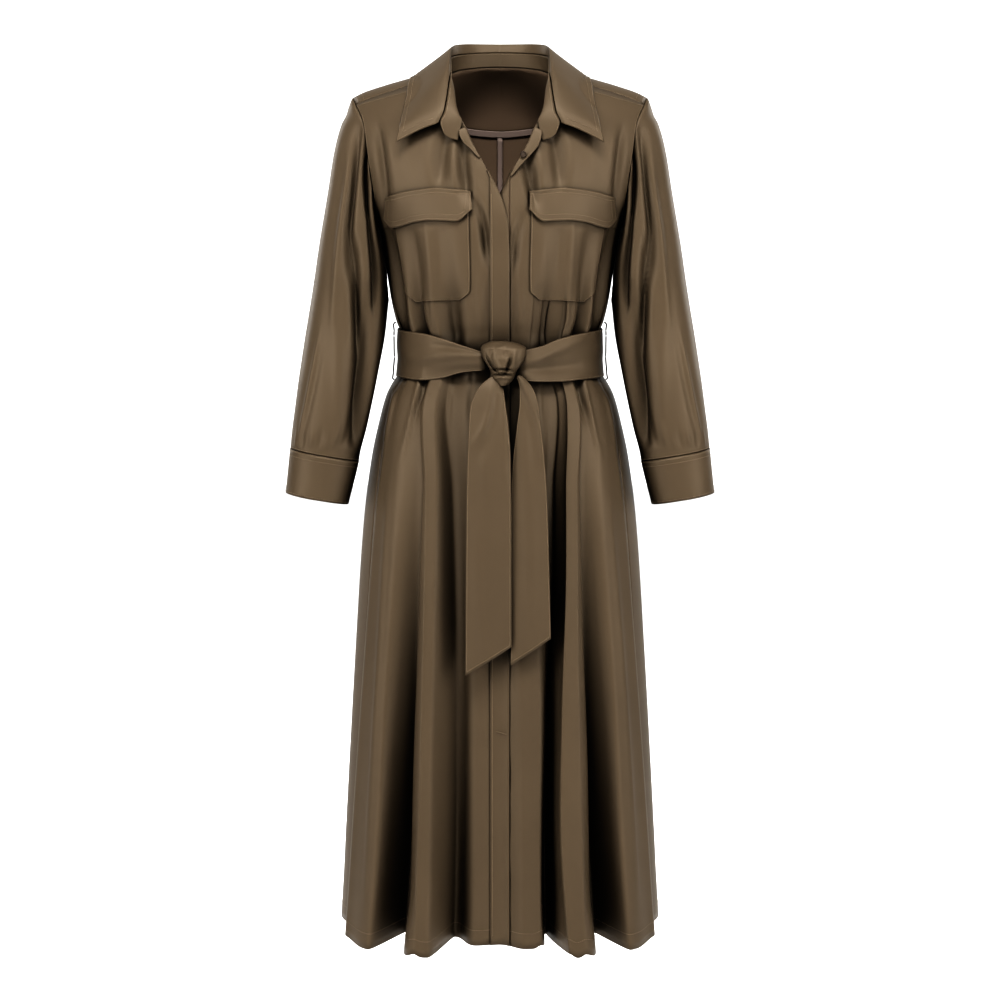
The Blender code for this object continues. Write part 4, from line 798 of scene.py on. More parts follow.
print("creases of the fronts:", len(CREASES[1]["width"]), len(CREASES[-1]["width"]))


# %% The fronts
def seam_fade(height, top=-0.150, bottom=HEM):
    """Creases die out towards the top seam and the hem."""
    return ease((top + 0.10 - height) / 0.04) * ease((height - bottom) / 0.10)


def front_grid(side, cut):
    """Outer face of a front: rows from the yoke seam to the hem, columns from the placket out."""
    edge = degrees_at(PLACKET_STITCH, UNDERARM)
    around = folds_of(side)["around"]
    first = float(count_at(side, edge, UNDERARM))
    marks = [first]
    for i in range(1, list(around).index(6.0) + 1):
        marks += [max(3, round((around[i + 1] - around[i]) * FRONT_COLUMNS)), around[i]]
    counts = spaced(*marks)
    shares = (degrees_of(side, counts, UNDERARM) - edge) / (SIDE_SEAM - edge)
    rows = []
    for turn in spaced(YOKE_FRONT_TURN, 6, 48.0, 8, 92.0, 8, 136.0, 5, 165.0, 2, 176.0):
        down = (turn - YOKE_FRONT_TURN) / (180.0 - YOKE_FRONT_TURN)
        inner_height = mix(FRONT_TOP - GAP, UNDERARM, down)
        inner = degrees_at(read(NECK_FRONT, "x", inner_height) + cut, inner_height)
        outer, outer_height = armhole(-turn)
        outer = outer - math.degrees(GAP / 0.20)
        degrees = mix(inner, outer, shares)
        start, end = math.sin(math.radians(inner)), math.sin(math.radians(outer))
        slide = (np.sin(np.radians(degrees)) - start) / (end - start)
        height = mix(inner_height, outer_height, slide)
        x, over = front_seam(slide)
        seam = shoulder_line(x) - drop_at(over) - GAP * (1.0 + 1.5 * slide ** 3)
        if down == 0.0:
            height, degrees = seam, degrees_at(x, seam)
        else:
            height = np.minimum(height, seam - down * 0.02)
        rows.append(plain(side * degrees, height)[0])
    for height in np.concatenate(([UNDERARM], SKIRT_ROWS)):
        edge_here = degrees_at(PLACKET_STITCH + cut, height)
        places = counts.copy()
        start = float(count_at(side, edge_here, height))
        near = places < 1.0
        places[near] = start + (places[near] - first) / (1.0 - first) * (1.0 - start)
        places[-1] = 6.0 - GAP / 0.10
        rows.append(skin(side * places, height))
    grid = np.array(rows)
    out = creased(CREASES[side], grid[..., 0] / MM, grid[..., 2] / MM)
    return grid + facing_of(grid, flip=side < 0) * (out * seam_fade(grid[..., 2]))[..., None]


FRONTS = {side: front_grid(side, 0.0007 if side > 0 else 0.0) for side in (1, -1)}
cloth("dress_front_left", FRONTS[1], "front_left")
cloth("dress_front_right", FRONTS[-1], "front_right", flip=True)

# %% [markdown]
# ## Backs
# The back is in two halves with a seam down its centre, and it hangs from a yoke. Each half could be cut
# flat and draped by a cloth simulation. Working it out from the fold tables keeps its folds where they
# are wanted, and its top row follows the yoke seam exactly, with no gap.

# %% Creases of the backs
BACK_CREASES = {1: table(CREASE_COLUMNS, [
    (158, -190, 96, -240, 6, 12, 2.0), (150, -230, 90, -300, 6, 12, -2.0),
    (60, -110, 50, -200, 4, 16, 1.6), (120, -290, 84, -344, 4, 8, 1.8),
    (30, -230, 34, -335, 3, 9, -1.8), (60, -260, 66, -342, 2, 8, 2.0),
    (40, -424, 52, -520, 3, 8, 2.0), (84, -424, 100, -540, 4, 8, -1.8),
    (118, -424, 138, -560, 4, 9, 1.8), (20, -424, 18, -500, 2, 7, 1.5),
]), -1: table(CREASE_COLUMNS, [
    (-158, -195, -98, -238, -6, 12, 2.0), (-150, -226, -92, -296, -6, 12, -2.0),
    (-64, -112, -56, -205, -4, 16, 1.6), (-118, -296, -80, -342, -4, 8, 1.8),
    (-28, -236, -30, -332, -3, 9, -1.8), (-66, -266, -60, -344, -2, 8, 2.0),
    (-44, -424, -58, -530, -3, 8, 2.0), (-88, -424, -106, -530, -4, 8, -1.8),
    (-122, -424, -142, -550, -4, 9, 1.8), (-18, -424, -20, -505, -2, 7, 1.5),
])}
print("creases of the backs:", len(BACK_CREASES[1]["width"]), len(BACK_CREASES[-1]["width"]))

# %% The backs
BACK_CENTRE_TOP = -0.0775


def back_seam(share):
    """The yoke seam across the back, from the centre (0) to the armhole (1)."""
    degrees, end_height = armhole(YOKE_BACK_TURN)
    return mix(180.0, degrees, share), mix(BACK_CENTRE_TOP, end_height, ease(share / 0.35))


def back_counts(side):
    """Fold counts of a back's columns, from the centre back to the side seam."""
    around = folds_of(side)["around"]
    first = list(around).index(6.0)
    marks = [6.0]
    for i in range(first, len(around) - 1):
        marks += [max(3, round((around[i + 1] - around[i]) * BACK_COLUMNS)), around[i + 1]]
    return spaced(*marks)[::-1]


def back_grid(side):
    """Outer face of a back: rows from the yoke seam to the hem, columns from the centre out."""
    counts = back_counts(side)
    seam_degrees = degrees_of(side, np.array([6.0]), UNDERARM)
    shares = (180.0 - degrees_of(side, counts, UNDERARM)) / (180.0 - seam_degrees)
    first = math.degrees(GAP / 2.0 / 0.11)
    rows = []
    for turn in spaced(YOKE_BACK_TURN, 8, 96.0, 10, 136.0, 5, 165.0, 2, 176.0):
        down = (turn - YOKE_BACK_TURN) / (180.0 - YOKE_BACK_TURN)
        outer, outer_height = armhole(turn)
        degrees = mix(180.0 - first, outer + math.degrees(GAP / 0.20), shares)
        seam = back_seam(shares)[1] - GAP * (1.0 + 1.5 * shares ** 3)
        level = mix(mix(BACK_CENTRE_TOP, UNDERARM, down), outer_height, shares ** 2.2)
        level = mix(seam, level, ease(down * 2.0))
        rows.append(plain(side * degrees, np.minimum(level, seam - down * 0.02))[0])
    for height in np.concatenate(([UNDERARM], SKIRT_ROWS)):
        places = counts.copy()
        places[0] = 12.0 - GAP / 0.08
        places[-1] = 6.0 + GAP / 0.10
        rows.append(skin(side * places, height))
    grid = np.array(rows)
    out = creased(BACK_CREASES[side], grid[..., 0] / MM, grid[..., 2] / MM)
    out = out * seam_fade(grid[..., 2], top=-0.165)
    return grid + facing_of(grid, flip=side > 0) * out[..., None]


BACKS = {side: back_grid(side) for side in (1, -1)}
cloth("dress_back_left", BACKS[1], "back_left", flip=True)
cloth("dress_back_right", BACKS[-1], "back_right")

# %% [markdown]
# ## Yoke
# The yoke covers the top of the back and comes a little way over the shoulders to the front. It is the
# piece that everything hangs from. Its grid is a fan of rows between its neck seam and its outer
# border, because that way the seams stay clean and the quads turn smoothly over the shoulder.

# %% Yoke
NECK_SEAM = table("share x drop", [
    (0.0, 0.0, 0.0230), (0.30, 0.0300, 0.0185), (0.55, 0.0560, 0.0085), (0.74, 0.0730, 0.0012),
    (0.80, 0.0765, 0.0), (0.88, 0.0785, 0.0035), (1.0, 0.0790, YOKE_FRONT_DROP),
])
NECK_BEHIND = 0.80        # the part of the neck seam that lies behind the shoulder line
YOKE_MEET = 0.24          # share of the neck seam that fans out to the armhole


def neck_seam(turn):
    """The neck seam from the right front yoke seam (0) round the back to the left (1), outer face."""
    turn = np.asarray(turn, float)
    side = np.where(turn < 0.5, -1.0, 1.0)
    share = np.abs(turn - 0.5) * 2.0
    x = read(NECK_SEAM, "x", share)
    height = shoulder_line(x) - read(NECK_SEAM, "drop", share)
    degrees = degrees_at(x, height)
    return plain(side * np.where(share < NECK_BEHIND, 180.0 - degrees, degrees), height)[0]


def signed_turn(point):
    over = turn_over(shoulder_line(point[:, 0]) - point[:, 2])
    return np.where(point[:, 1] < 0.0, -over, over)


def yoke_half():
    turns = spaced(-YOKE_FRONT_TURN, 10, 0.0, 18, YOKE_BACK_TURN)
    shares = spaced(1.0, 60, 0.0)
    seam_degrees, seam_height = back_seam(shares[1:])
    hole_degrees, hole_height = armhole(turns)
    degrees = np.concatenate((hole_degrees, seam_degrees))
    height = np.concatenate((hole_height, seam_height))
    outward = (turns + YOKE_FRONT_TURN) / (YOKE_FRONT_TURN + YOKE_BACK_TURN)
    meet = np.concatenate((YOKE_MEET * outward, mix(YOKE_MEET, 0.5, 1.0 - shares[1:])))
    start = neck_seam(1.0 - meet)
    end = plain(degrees, height)[0]
    rows = []
    for share in spaced(0.0, 14, 1.0):
        x = mix(start[:, 0], end[:, 0], share)
        turn = mix(signed_turn(start), signed_turn(end), share)
        level = shoulder_line(x) - drop_at(turn)
        around = degrees_at(x, level)
        rows.append(plain(np.where(turn < 0, around, 180.0 - around), level)[0])
    return np.array(rows)


YOKE_HALF = yoke_half()
mirrored_half = (YOKE_HALF * (-1.0, 1.0, 1.0))[:, :-1]
YOKE = np.concatenate((mirrored_half, YOKE_HALF[:, ::-1]), axis=1)
cloth("dress_yoke", YOKE, "back_yoke", flip=True)

# %% [markdown]
# ## Sleeves and cuffs
# A long sleeve is a tube set into the armhole and gathered a little into a straight cuff. The
# tube is drawn by its outer and inner edge at each height, and its first row is the armhole itself. It
# hangs close against the dress, so points that would pass into the body are moved out. The folds of a
# sleeve run round it at the elbow and along it above the cuff, and they are a crease table over the
# turn round the sleeve (0 at the top, 180 below, minus in front) and the height.

# %% Sleeves
SLEEVE = table("height outer inner half_depth y", [
    (-0.0300, 0.2020, 0.1100, 0.056, 0.004),
    (-0.0405, 0.2040, 0.1100, 0.058, 0.004),
    (-0.0517, 0.2085, 0.1110, 0.060, 0.004),
    (-0.0655, 0.2172, 0.1120, 0.061, 0.004),
    (-0.1030, 0.2280, 0.1180, 0.060, 0.003),
    (-0.1590, 0.2375, 0.1280, 0.056, 0.002),
    (-0.2280, 0.2495, 0.1420, 0.053, -0.001),
    (-0.3120, 0.2630, 0.1545, 0.050, -0.006),
    (-0.3540, 0.2700, 0.1590, 0.048, -0.009),
    (-0.4120, 0.2785, 0.1700, 0.046, -0.014),
    (-0.4540, 0.2840, 0.1785, 0.044, -0.017),
    (-0.4880, 0.2885, 0.1860, 0.042, -0.019),
    (-0.5180, 0.2915, 0.1940, 0.038, -0.021),
    (-0.5320, 0.2930, 0.1965, 0.037, -0.022),
    (-0.5900, 0.2990, 0.2110, 0.035, -0.025),
])
SLEEVE_ROWS = table("step outer inner", [
    (0, -0.0480, -0.2170), (1, -0.0700, -0.2230), (2, -0.1000, -0.2300), (3, -0.1400, -0.2400),
    (4, -0.1850, -0.2520), (5, -0.2330, -0.2740), (6, -0.2830, -0.3080), (7, -0.3330, -0.3540),
    (8, -0.3830, -0.4030), (9, -0.4320, -0.4510), (10, -0.4760, -0.4940), (11, -0.5010, -0.5190),
    (12, -0.5125, -0.5300),
])
BODY_AIR = 0.0030         # between the sleeve and the body it hangs against
ARMHOLE_AIR = 0.0024      # between the sleeve and the armhole's edge, past the seam
SEAM_OUT = 0.0008         # how far the sleeve's first ring stands out of the armhole
SEAM_DOWN = 0.0010        # and how far below it under the arm
SQUARE = 0.93             # 1 is an ellipse, less is squarer
HEAD_HEIGHT = 0.0290      # below the shoulder tip's top
HEAD_OUT = 0.0027         # how far the sleeve head swells out over the shoulder tip
SLEEVE_TURNS = spaced(-180.0, 144, 180.0)[:-1]
UNDER_ARM = (1.0 - np.cos(np.radians(SLEEVE_TURNS))) / 2.0
print("points round a sleeve:", len(SLEEVE_TURNS))

# %% Creases of a sleeve
# Each runs from one turn and height (mm) to another. The long ones come down from the armhole, the
# short ones gather the sleeve into its cuff.
SLEEVE_CREASES = table(CREASE_COLUMNS, [
    (-52, -80, -88, -280, 0, 6, -11.0), (-84, -225, -118, -380, 0, 6.5, -15.0),
    (-66, -68, -104, -190, 0, 5, -13.0), (-98, -150, -140, -330, 0, 6, -12.0),
    (-114, -300, -146, -510, 0, 15, -20.0), (-48, -100, -74, -340, 2, 6, 4.0),
    (-76, -330, -100, -470, 3, 8, 3.0),
    (-96, -110, -118, -300, 4, 12, 2.6), (-24, -60, -30, -260, 3, 13, 1.2),
    (-54, -350, -40, -506, 3, 3.6, 2.2), (-62, -370, -50, -500, 3, 5, -1.4),
    (-14, -250, -20, -420, -3, 14, -1.6), (-128, -430, -118, -512, 2, 7, -2.2),
    (-104, -470, -100, -516, 1, 4, 1.6), (-82, -486, -80, -516, 1, 3, -1.6),
    (-68, -488, -67, -514, 1, 3, 1.5), (-52, -490, -51, -514, 1, 3, -1.4),
    (-34, -486, -33, -512, 1, 3, 1.3), (-92, -490, -91, -517, 1, 3, 1.3),
    (34, -70, 52, -330, -4, 14, -3.6), (60, -90, 78, -360, -4, 13, 3.0),
    (86, -160, 112, -400, -5, 13, -4.6), (20, -280, 34, -470, -3, 13, 2.4),
    (112, -240, 134, -440, -4, 11, 3.0), (60, -380, 66, -508, -2, 8, -2.4),
    (48, -470, 50, -514, 1, 4, 1.6), (84, -474, 85, -516, 1, 4, -1.8),
    (100, -470, 101, -518, 1, 4, 1.6), (134, -440, 138, -520, 1, 6, -1.8),
    (158, -260, 170, -480, -2, 10, -2.4), (-158, -300, -166, -500, 2, 9, 2.0),
])
print("creases of a sleeve:", len(SLEEVE_CREASES["width"]))

# %% Sleeve surface
def off_body(points):
    """Moves sleeve points sideways, clear of the dress body."""
    side = np.sign(points[..., 0])
    y, z = points[..., 1], points[..., 2]
    width = read(RINGS, "half_width", z) + BODY_AIR
    deep = np.where(y < 0, read(RINGS, "front", z), read(RINGS, "back", z)) + BODY_AIR
    share = np.clip(np.abs(y) / deep, 0.0, 1.0)
    edge = width * (1.0 - share ** OVAL) ** (1.0 / OVAL)
    edge = np.where(z > UNDERARM, np.minimum(edge, read(ARMHOLE, "x", z) + ARMHOLE_AIR), edge)
    moved = points.copy()
    moved[..., 0] = side * np.maximum(np.abs(points[..., 0]), edge)
    return moved


def sleeve_point(side, turn, height, widen=0.0):
    """Points of the full sleeve at turns round it and heights."""
    outer, inner = read(SLEEVE, "outer", height), read(SLEEVE, "inner", height)
    angle = np.radians(turn)
    x = (outer + inner) / 2.0 + ((outer - inner) / 2.0 + widen) * power(np.cos(angle), SQUARE)
    half_depth = read(SLEEVE, "half_depth", height) + widen
    y = read(SLEEVE, "y", height) + half_depth * power(np.sin(angle), SQUARE)
    return np.stack(np.broadcast_arrays(side * x, y, height), axis=-1)


def armhole_ring(side):
    """The first ring of a sleeve, sewn into the armhole."""
    degrees, height = armhole(SLEEVE_TURNS)
    ring = plain(side * degrees, height)[0]
    ring[:, 0] += side * SEAM_OUT
    ring[:, 2] -= SEAM_DOWN * UNDER_ARM
    return ring


print("height of the underarm in the first ring, mm:", round(float(armhole_ring(1)[:, 2].min()) / MM))


# %% The sleeves
CREASED_BELOW = -0.050    # where the creases of a sleeve begin, going down
CREASED_DOWN_TO = -0.5145  # and where they have ended, at the cuff


def sleeve_grid(side):
    """Outer face of a sleeve: rings from the armhole to the cuff, with no creases yet."""
    start = armhole_ring(side)
    stray = start - sleeve_point(side, SLEEVE_TURNS, start[:, 2])
    rows = [start]
    for step in spaced(-0.72, 3, 0.0, 60, 12.0):
        outer = read(SLEEVE_ROWS, "outer", step)
        inner = read(SLEEVE_ROWS, "inner", step)
        fade = 1.0 - ease((step + 1.0) / 7.0)
        level = mix(outer, inner, UNDER_ARM)
        if step < 0.0:
            level = mix(level, start[:, 2], -step)
        row = sleeve_point(side, SLEEVE_TURNS, level) + stray * fade
        below = np.clip((-HEAD_HEIGHT - row[:, 2]) / HEAD_HEIGHT, 0.0, 1.0)
        head = np.sin(math.pi * below) * (1.0 - UNDER_ARM) ** 2
        row[:, 0] += side * HEAD_OUT * head
        rows.append(off_body(row))
    return np.array(rows)


SLEEVES = {}
for side, word in ((1, "left"), (-1, "right")):
    grid = sleeve_grid(side)
    push = creased(SLEEVE_CREASES, SLEEVE_TURNS[None, :], grid[..., 2] / MM)
    push = push * ease((CREASED_BELOW - grid[..., 2]) / 0.03)
    push = push * ease((grid[..., 2] - CREASED_DOWN_TO) / 0.012)
    SLEEVES[side] = grid + facing_of(grid, ring=True, flip=side < 0) * push[..., None]
    cloth("dress_sleeve_" + word, SLEEVES[side], "sleeve_" + word, ring=True, flip=side < 0)

# %% [markdown]
# ## Cuffs
# A cuff is a straight band, folded double, so its wall is thicker than the sleeve's. It takes its shape
# from the same sleeve rings, a little wider all round, so that the two can't drift apart.

# %% Cuffs
CUFF_WALL = 2.0 * MM
CUFF_WIDER = 0.0004       # than the sleeve, all round
CUFF_OUTER = (-0.5133, -0.5745)  # top and bottom along the outside of the arm
CUFF_INNER = (-0.5308, -0.5905)  # and along the inside
CUFFS = {}
for side, word in ((1, "left"), (-1, "right")):
    rows = []
    for share in spaced(0.0, 14, 1.0):
        level = mix(mix(*CUFF_OUTER, share), mix(*CUFF_INNER, share), UNDER_ARM)
        rows.append(sleeve_point(side, SLEEVE_TURNS, level, CUFF_WIDER))
    CUFFS[side] = np.array(rows)
    cloth("dress_cuff_" + word, CUFFS[side], "cuff_" + word, wall=CUFF_WALL, ring=True, flip=side < 0)

# %% [markdown]
# ## Plackets
# The fronts close with plackets: folded strips sewn along the opening, the wearer's right over the
# left. Above the top fastened button they roll back with the collar. Each is a narrow grid from its seam
# to its free edge that takes its depth from the fronts, so it follows every fold under it.

# %% Plackets
LAY = 0.5 * MM            # air between a panel and what lies on it

OVER_EDGE = table("height x", [
    (-0.130, -0.0160), (-0.148, -0.0070), (-0.170, 0.0030), (-0.190, 0.0085), (-0.212, 0.0118),
    (-0.250, 0.0131), (-0.300, 0.0131),
])
UNDER_EDGE = table("height x", [
    (-0.130, 0.0160), (-0.148, 0.0075), (-0.170, -0.0030), (-0.190, -0.0080), (-0.212, -0.0105),
    (-0.250, -0.0112), (-0.300, -0.0112),
])
PLACKET_ROWS = np.concatenate((-spaced(0.132, 20, 0.211), SKIRT_ROWS))


def front_point(x, height):
    """The outer face of the fronts at distances from the centre, near the opening."""
    x, height = np.broadcast_arrays(np.asarray(x, float), np.asarray(height, float))
    degrees = degrees_at(x, height)
    side = np.where(x >= 0, 1.0, -1.0)
    count = np.where(side > 0, count_at(1, degrees, height), count_at(-1, degrees, height))
    high = plain(side * degrees, height)[0]
    low = skin(side * count, height)
    return np.where((height > UNDERARM + 0.001)[..., None], high, low)


def placket_grid(edge, side, out, lap, top_curl, ripple):
    """Outer face of a placket, from its seam to its free edge, which curls and ripples a little."""
    shares = spaced(0.0, 8, 1.0)
    seam = side * (read(NECK_FRONT, "x", PLACKET_ROWS) + lap)
    free = read(edge, "x", PLACKET_ROWS)
    x = mix(seam[:, None], free[:, None], shares[None, :])
    height = np.broadcast_to(PLACKET_ROWS[:, None], x.shape)
    grid = front_point(x, height)
    curl = top_curl * ease((height + 0.20) / 0.05) * shares ** 2
    wave = ripple * np.sin(height * 61.0) * np.sin(height * 23.0 + 1.0)
    wave = wave * shares * ease((-0.20 - height) / 0.05)
    grid[..., 1] += curl - out - wave
    return grid


OVER = placket_grid(OVER_EDGE, -1, LAY + WALL, 0.0010, 0.002, 0.0012)
UNDER = placket_grid(UNDER_EDGE, 1, 0.0, -0.0003, 0.006, 0.0)
cloth("dress_placket_over", OVER, "placket_over")
cloth("dress_placket_under", UNDER, "placket_under", flip=True)

# %% [markdown]
# ## Facings
# Along the V the inside of the neck facing rolls out and shows as a narrow leaf-shaped band. It could be
# the placket's own edge turned over, but as a strip of its own it gets the seam line that a real one has.

# %% Facings
FACING_LEFT = table("share height width rise", [
    (0.0, -0.0745, 0.0100, 0.0015), (0.25, -0.0820, 0.0130, 0.0040), (0.5, -0.0940, 0.0140, 0.0055),
    (0.75, -0.1160, 0.0085, 0.0030), (1.0, -0.1400, 0.0020, 0.0005),
])
FACING_RIGHT = table("share height width rise", [
    (0.0, -0.0745, 0.0100, 0.0015), (0.25, -0.0820, 0.0115, 0.0040), (0.5, -0.0910, 0.0105, 0.0045),
    (0.75, -0.1020, 0.0060, 0.0020), (1.0, -0.1150, 0.0020, 0.0005),
])


def facing_grid(side, chart):
    """Outer face of a facing: down along the V, and from the neck edge outwards."""
    share = spaced(0.0, 36, 1.0)[:, None]
    across = spaced(0.0, 8, 1.0)[None, :]
    height, width, rise = (read(chart, name, share) for name in ("height", "width", "rise"))
    x = read(NECK_FRONT, "x", height) + 0.0004 + width * across
    grid = front_point(side * x, height - 0.3 * width * across)
    grid[..., 1] -= LAY + WALL + 0.0002 + rise * across ** 1.3
    return grid


for side, word, chart in ((1, "left", FACING_LEFT), (-1, "right", FACING_RIGHT)):
    cloth("dress_facing_" + word, facing_grid(side, chart), "facing_" + word, flip=side < 0)

# %% [markdown]
# ## Pockets and flaps
# Two patch pockets with flaps lie on the chest. On the real dress they are cut flat and sewn on, so
# they follow the front they lie on. Here each one takes its points from the front's own grid and
# moves them out. Their outlines are short tables of places across and up, since a patch pocket is
# narrower at the bottom and has its corners cut off.

# %% Points on a front
TRIM_WALL = 1.0 * MM      # pockets, flaps and bindings
POCKET_LAY = 1.1 * MM     # air between a front and its pocket
FLAP_LAY = 0.9 * MM       # air between a pocket and its flap
CHEST_X = np.arange(20.0, 172.1, 1.0)
CHEST_Z = np.arange(-140.0, -330.1, -1.0)


def chest_map(side):
    """Depth (metres) of a front at every millimetre across and down the chest."""
    columns = FRONTS[side].swapaxes(0, 1)
    across = [np.interp(-CHEST_Z, -line[:, 2] / MM, side * line[:, 0] / MM) for line in columns]
    depth = [np.interp(-CHEST_Z, -line[:, 2] / MM, line[:, 1]) for line in columns]
    across, depth = np.array(across).T, np.array(depth).T
    return np.array([np.interp(CHEST_X, np.maximum.accumulate(a), d) for a, d in zip(across, depth)])


def softened(chart, times):
    """Evens out a map, as a second layer of cloth does with the folds under it."""
    for _ in range(times):
        for axis in (0, 1):
            chart = (np.roll(chart, 1, axis) + np.roll(chart, -1, axis) + chart * 2.0) / 4.0
    return chart


def read_map(chart, x, z):
    """Reads a chest map between its millimetres."""
    c = np.clip(np.asarray(x, float) - CHEST_X[0], 0.0, len(CHEST_X) - 1.001)
    r = np.clip(CHEST_Z[0] - np.asarray(z, float), 0.0, len(CHEST_Z) - 1.001)
    i, j = r.astype(int), c.astype(int)
    upper = mix(chart[i, j], chart[i, j + 1], c - j)
    lower = mix(chart[i + 1, j], chart[i + 1, j + 1], c - j)
    return mix(upper, lower, r - i)


CHEST_MAPS = {side: chest_map(side) for side in (1, -1)}
print("chest map points:", CHEST_MAPS[1].shape)

# %% Outlines of pockets and flaps
# Outlines in millimetres: the left and right edge of each row, top and bottom line of each column.
POCKET_EDGE = table("down inner outer", [
    (0.0, 42.0, 146.0), (0.35, 41.0, 139.0), (0.75, 40.0, 130.5), (0.90, 40.2, 128.0), (1.0, 53.0, 114.0),
])
POCKET_TOP = -176.0
POCKET_BOTTOM = table("x z", [(40, -306.0), (84, -307.0), (114, -309.5), (146, -309.5)])
FLAP_TOP = table("x z", [
    (37.7, -161.0), (60.0, -158.0), (86.0, -156.1), (112.0, -158.2), (135.0, -162.2), (154.4, -168.6),
])
FLAP_BOTTOM = table("x z", [
    (37.7, -186.0), (57.8, -201.0), (70.0, -200.2), (88.0, -199.2), (112.8, -201.4), (140.5, -208.6),
    (153.4, -195.6),
])
print("flap width mm:", round(float(np.ptp(FLAP_TOP["x"]))))


# %% Pockets and flaps
def lying(side, x, z, out, chart):
    """Points that lie on a front, moved out from it."""
    x, z = np.broadcast_arrays(np.asarray(x, float), np.asarray(z, float))
    y = read_map(chart, x, z)
    lean_x = (read_map(chart, x + 1.0, z) - read_map(chart, x - 1.0, z)) / (2.0 * MM)
    lean_z = (read_map(chart, x, z + 1.0) - read_map(chart, x, z - 1.0)) / (2.0 * MM)
    away = unit(np.stack([side * lean_x, -np.ones_like(lean_x), lean_z], axis=-1))
    return np.stack([side * x * MM, y, z * MM], axis=-1) + away * np.asarray(out)[..., None]


POCKET_SLACK = 0.0012     # how far a pocket stands off in its middle
FLAP_LIFT = 0.0036        # how far a flap's lower edge stands off
FLAP_TUCK = 0.0004        # depth of the stitched line below its top
SOFTER_POCKET = 3         # times the folds below are evened out
SOFTER_FLAP = 24


def pocket_grid(side):
    down = spaced(0.0, 34, 0.9, 6, 1.0)[:, None]
    across = spaced(0.0, 48, 1.0)[None, :]
    inner, outer = read(POCKET_EDGE, "inner", down), read(POCKET_EDGE, "outer", down)
    x = mix(inner, outer, across)
    z = mix(POCKET_TOP, read(POCKET_BOTTOM, "z", x), down)
    lower = np.sin(math.pi * np.clip(down * 1.1, 0, 1)) ** 0.8
    slack = POCKET_SLACK * np.sin(math.pi * across) * lower
    out = POCKET_LAY + TRIM_WALL + slack
    return lying(side, x, z, out, softened(CHEST_MAPS[side], SOFTER_POCKET))


def flap_grid(side):
    down = spaced(0.0, 24, 1.0)[:, None]
    x = spaced(37.7, 14, 57.8, 50, 140.5, 12, 153.6)[None, :]
    z = mix(read(FLAP_TOP, "z", x), read(FLAP_BOTTOM, "z", x), down)
    x, z = np.broadcast_arrays(x, z)
    tuck = -FLAP_TUCK * np.exp(-((down - 0.14) / 0.05) ** 2)
    lift = FLAP_LIFT * down ** 2
    out = POCKET_LAY + FLAP_LAY + 2.0 * TRIM_WALL + lift + tuck + 0.0 * x
    return lying(side, x, z, out, softened(CHEST_MAPS[side], SOFTER_FLAP))


POCKETS, FLAPS = {}, {}
for side, word in ((1, "left"), (-1, "right")):
    POCKETS[side], FLAPS[side] = pocket_grid(side), flap_grid(side)
    cloth("dress_pocket_" + word, POCKETS[side], "pocket_" + word, wall=TRIM_WALL, flip=side < 0)
    cloth("dress_flap_" + word, FLAPS[side], "flap_" + word, wall=TRIM_WALL, flip=side < 0)

# %% [markdown]
# ## Collar
# A shirt collar is a stand round the neck and a leaf that folds down over it. The leaf rolls over the
# stand at the back and lies on the shoulders, and in front its points fall open. The ends of the stand
# turn outwards with it like small lapels, since the top button is undone.

# %% Collar tables
STAND = table("around mid_x mid_y mid_z top_x top_y top_z", [
    (0.00, 0.0000, 0.0625, 0.0230, 0.0000, 0.0640, 0.0340),
    (0.20, 0.0330, 0.0560, 0.0220, 0.0335, 0.0580, 0.0330),
    (0.40, 0.0590, 0.0340, 0.0175, 0.0575, 0.0360, 0.0290),
    (0.56, 0.0705, 0.0030, 0.0115, 0.0670, 0.0040, 0.0230),
    (0.66, 0.0680, -0.0420, -0.0080, 0.0665, -0.0390, 0.0030),
    (0.76, 0.0612, -0.0675, -0.0265, 0.0685, -0.0650, -0.0160),
    (0.86, 0.0580, -0.0910, -0.0580, 0.0745, -0.0905, -0.0530),
    (0.94, 0.0660, -0.0950, -0.0740, 0.0805, -0.0940, -0.0680),
    (1.00, 0.0680, -0.0960, -0.0890, 0.0755, -0.0950, -0.0830),
])
STAND_END = np.array((0.0560, -0.0960, -0.0920))
LEAF = table("around roll_x roll_y roll_z edge_x edge_y edge_z bulge", [
    (0.00, 0.0000, 0.0700, 0.0475, 0.0000, 0.0960, -0.0060, 0.004),
    (0.20, 0.0390, 0.0640, 0.0476, 0.0500, 0.0900, -0.0090, 0.004),
    (0.40, 0.0610, 0.0390, 0.0450, 0.0820, 0.0540, -0.0070, 0.000),
    (0.56, 0.0675, 0.0040, 0.0375, 0.1180, 0.0000, -0.0010, 0.000),
    (0.66, 0.0690, -0.0370, 0.0130, 0.1285, -0.0480, -0.0370, 0.002),
    (0.76, 0.0770, -0.0665, -0.0175, 0.1330, -0.0750, -0.0600, 0.002),
    (0.86, 0.0810, -0.0930, -0.0560, 0.1365, -0.0930, -0.0790, 0.003),
    (0.94, 0.0870, -0.0980, -0.0710, 0.1400, -0.0970, -0.0950, 0.002),
])
print("places along the stand and the leaf:", len(STAND["around"]), len(LEAF["around"]))

# %% Under the collar
COLLAR_WALL = 1.2 * MM
LEAF_AIR = 0.0022         # between the leaf and the shoulders
LEAF_START = 0.0009       # between the stand's top edge and the leaf
LEAF_START_FRONT = 0.0018 # the same where the edge runs down steeply in front
FRONT_NECK = 0.62         # where the collar passes from the yoke to the front
ROLLS_BACK = 0.86         # where the front rolls back, and the stand's end hangs free
ROLLS_BACK_HEIGHT = -0.066
STAND_RISE = 0.0008       # the stand's seam above the body's neck seam
STAND_FORWARD = 0.0040    # and in front of it


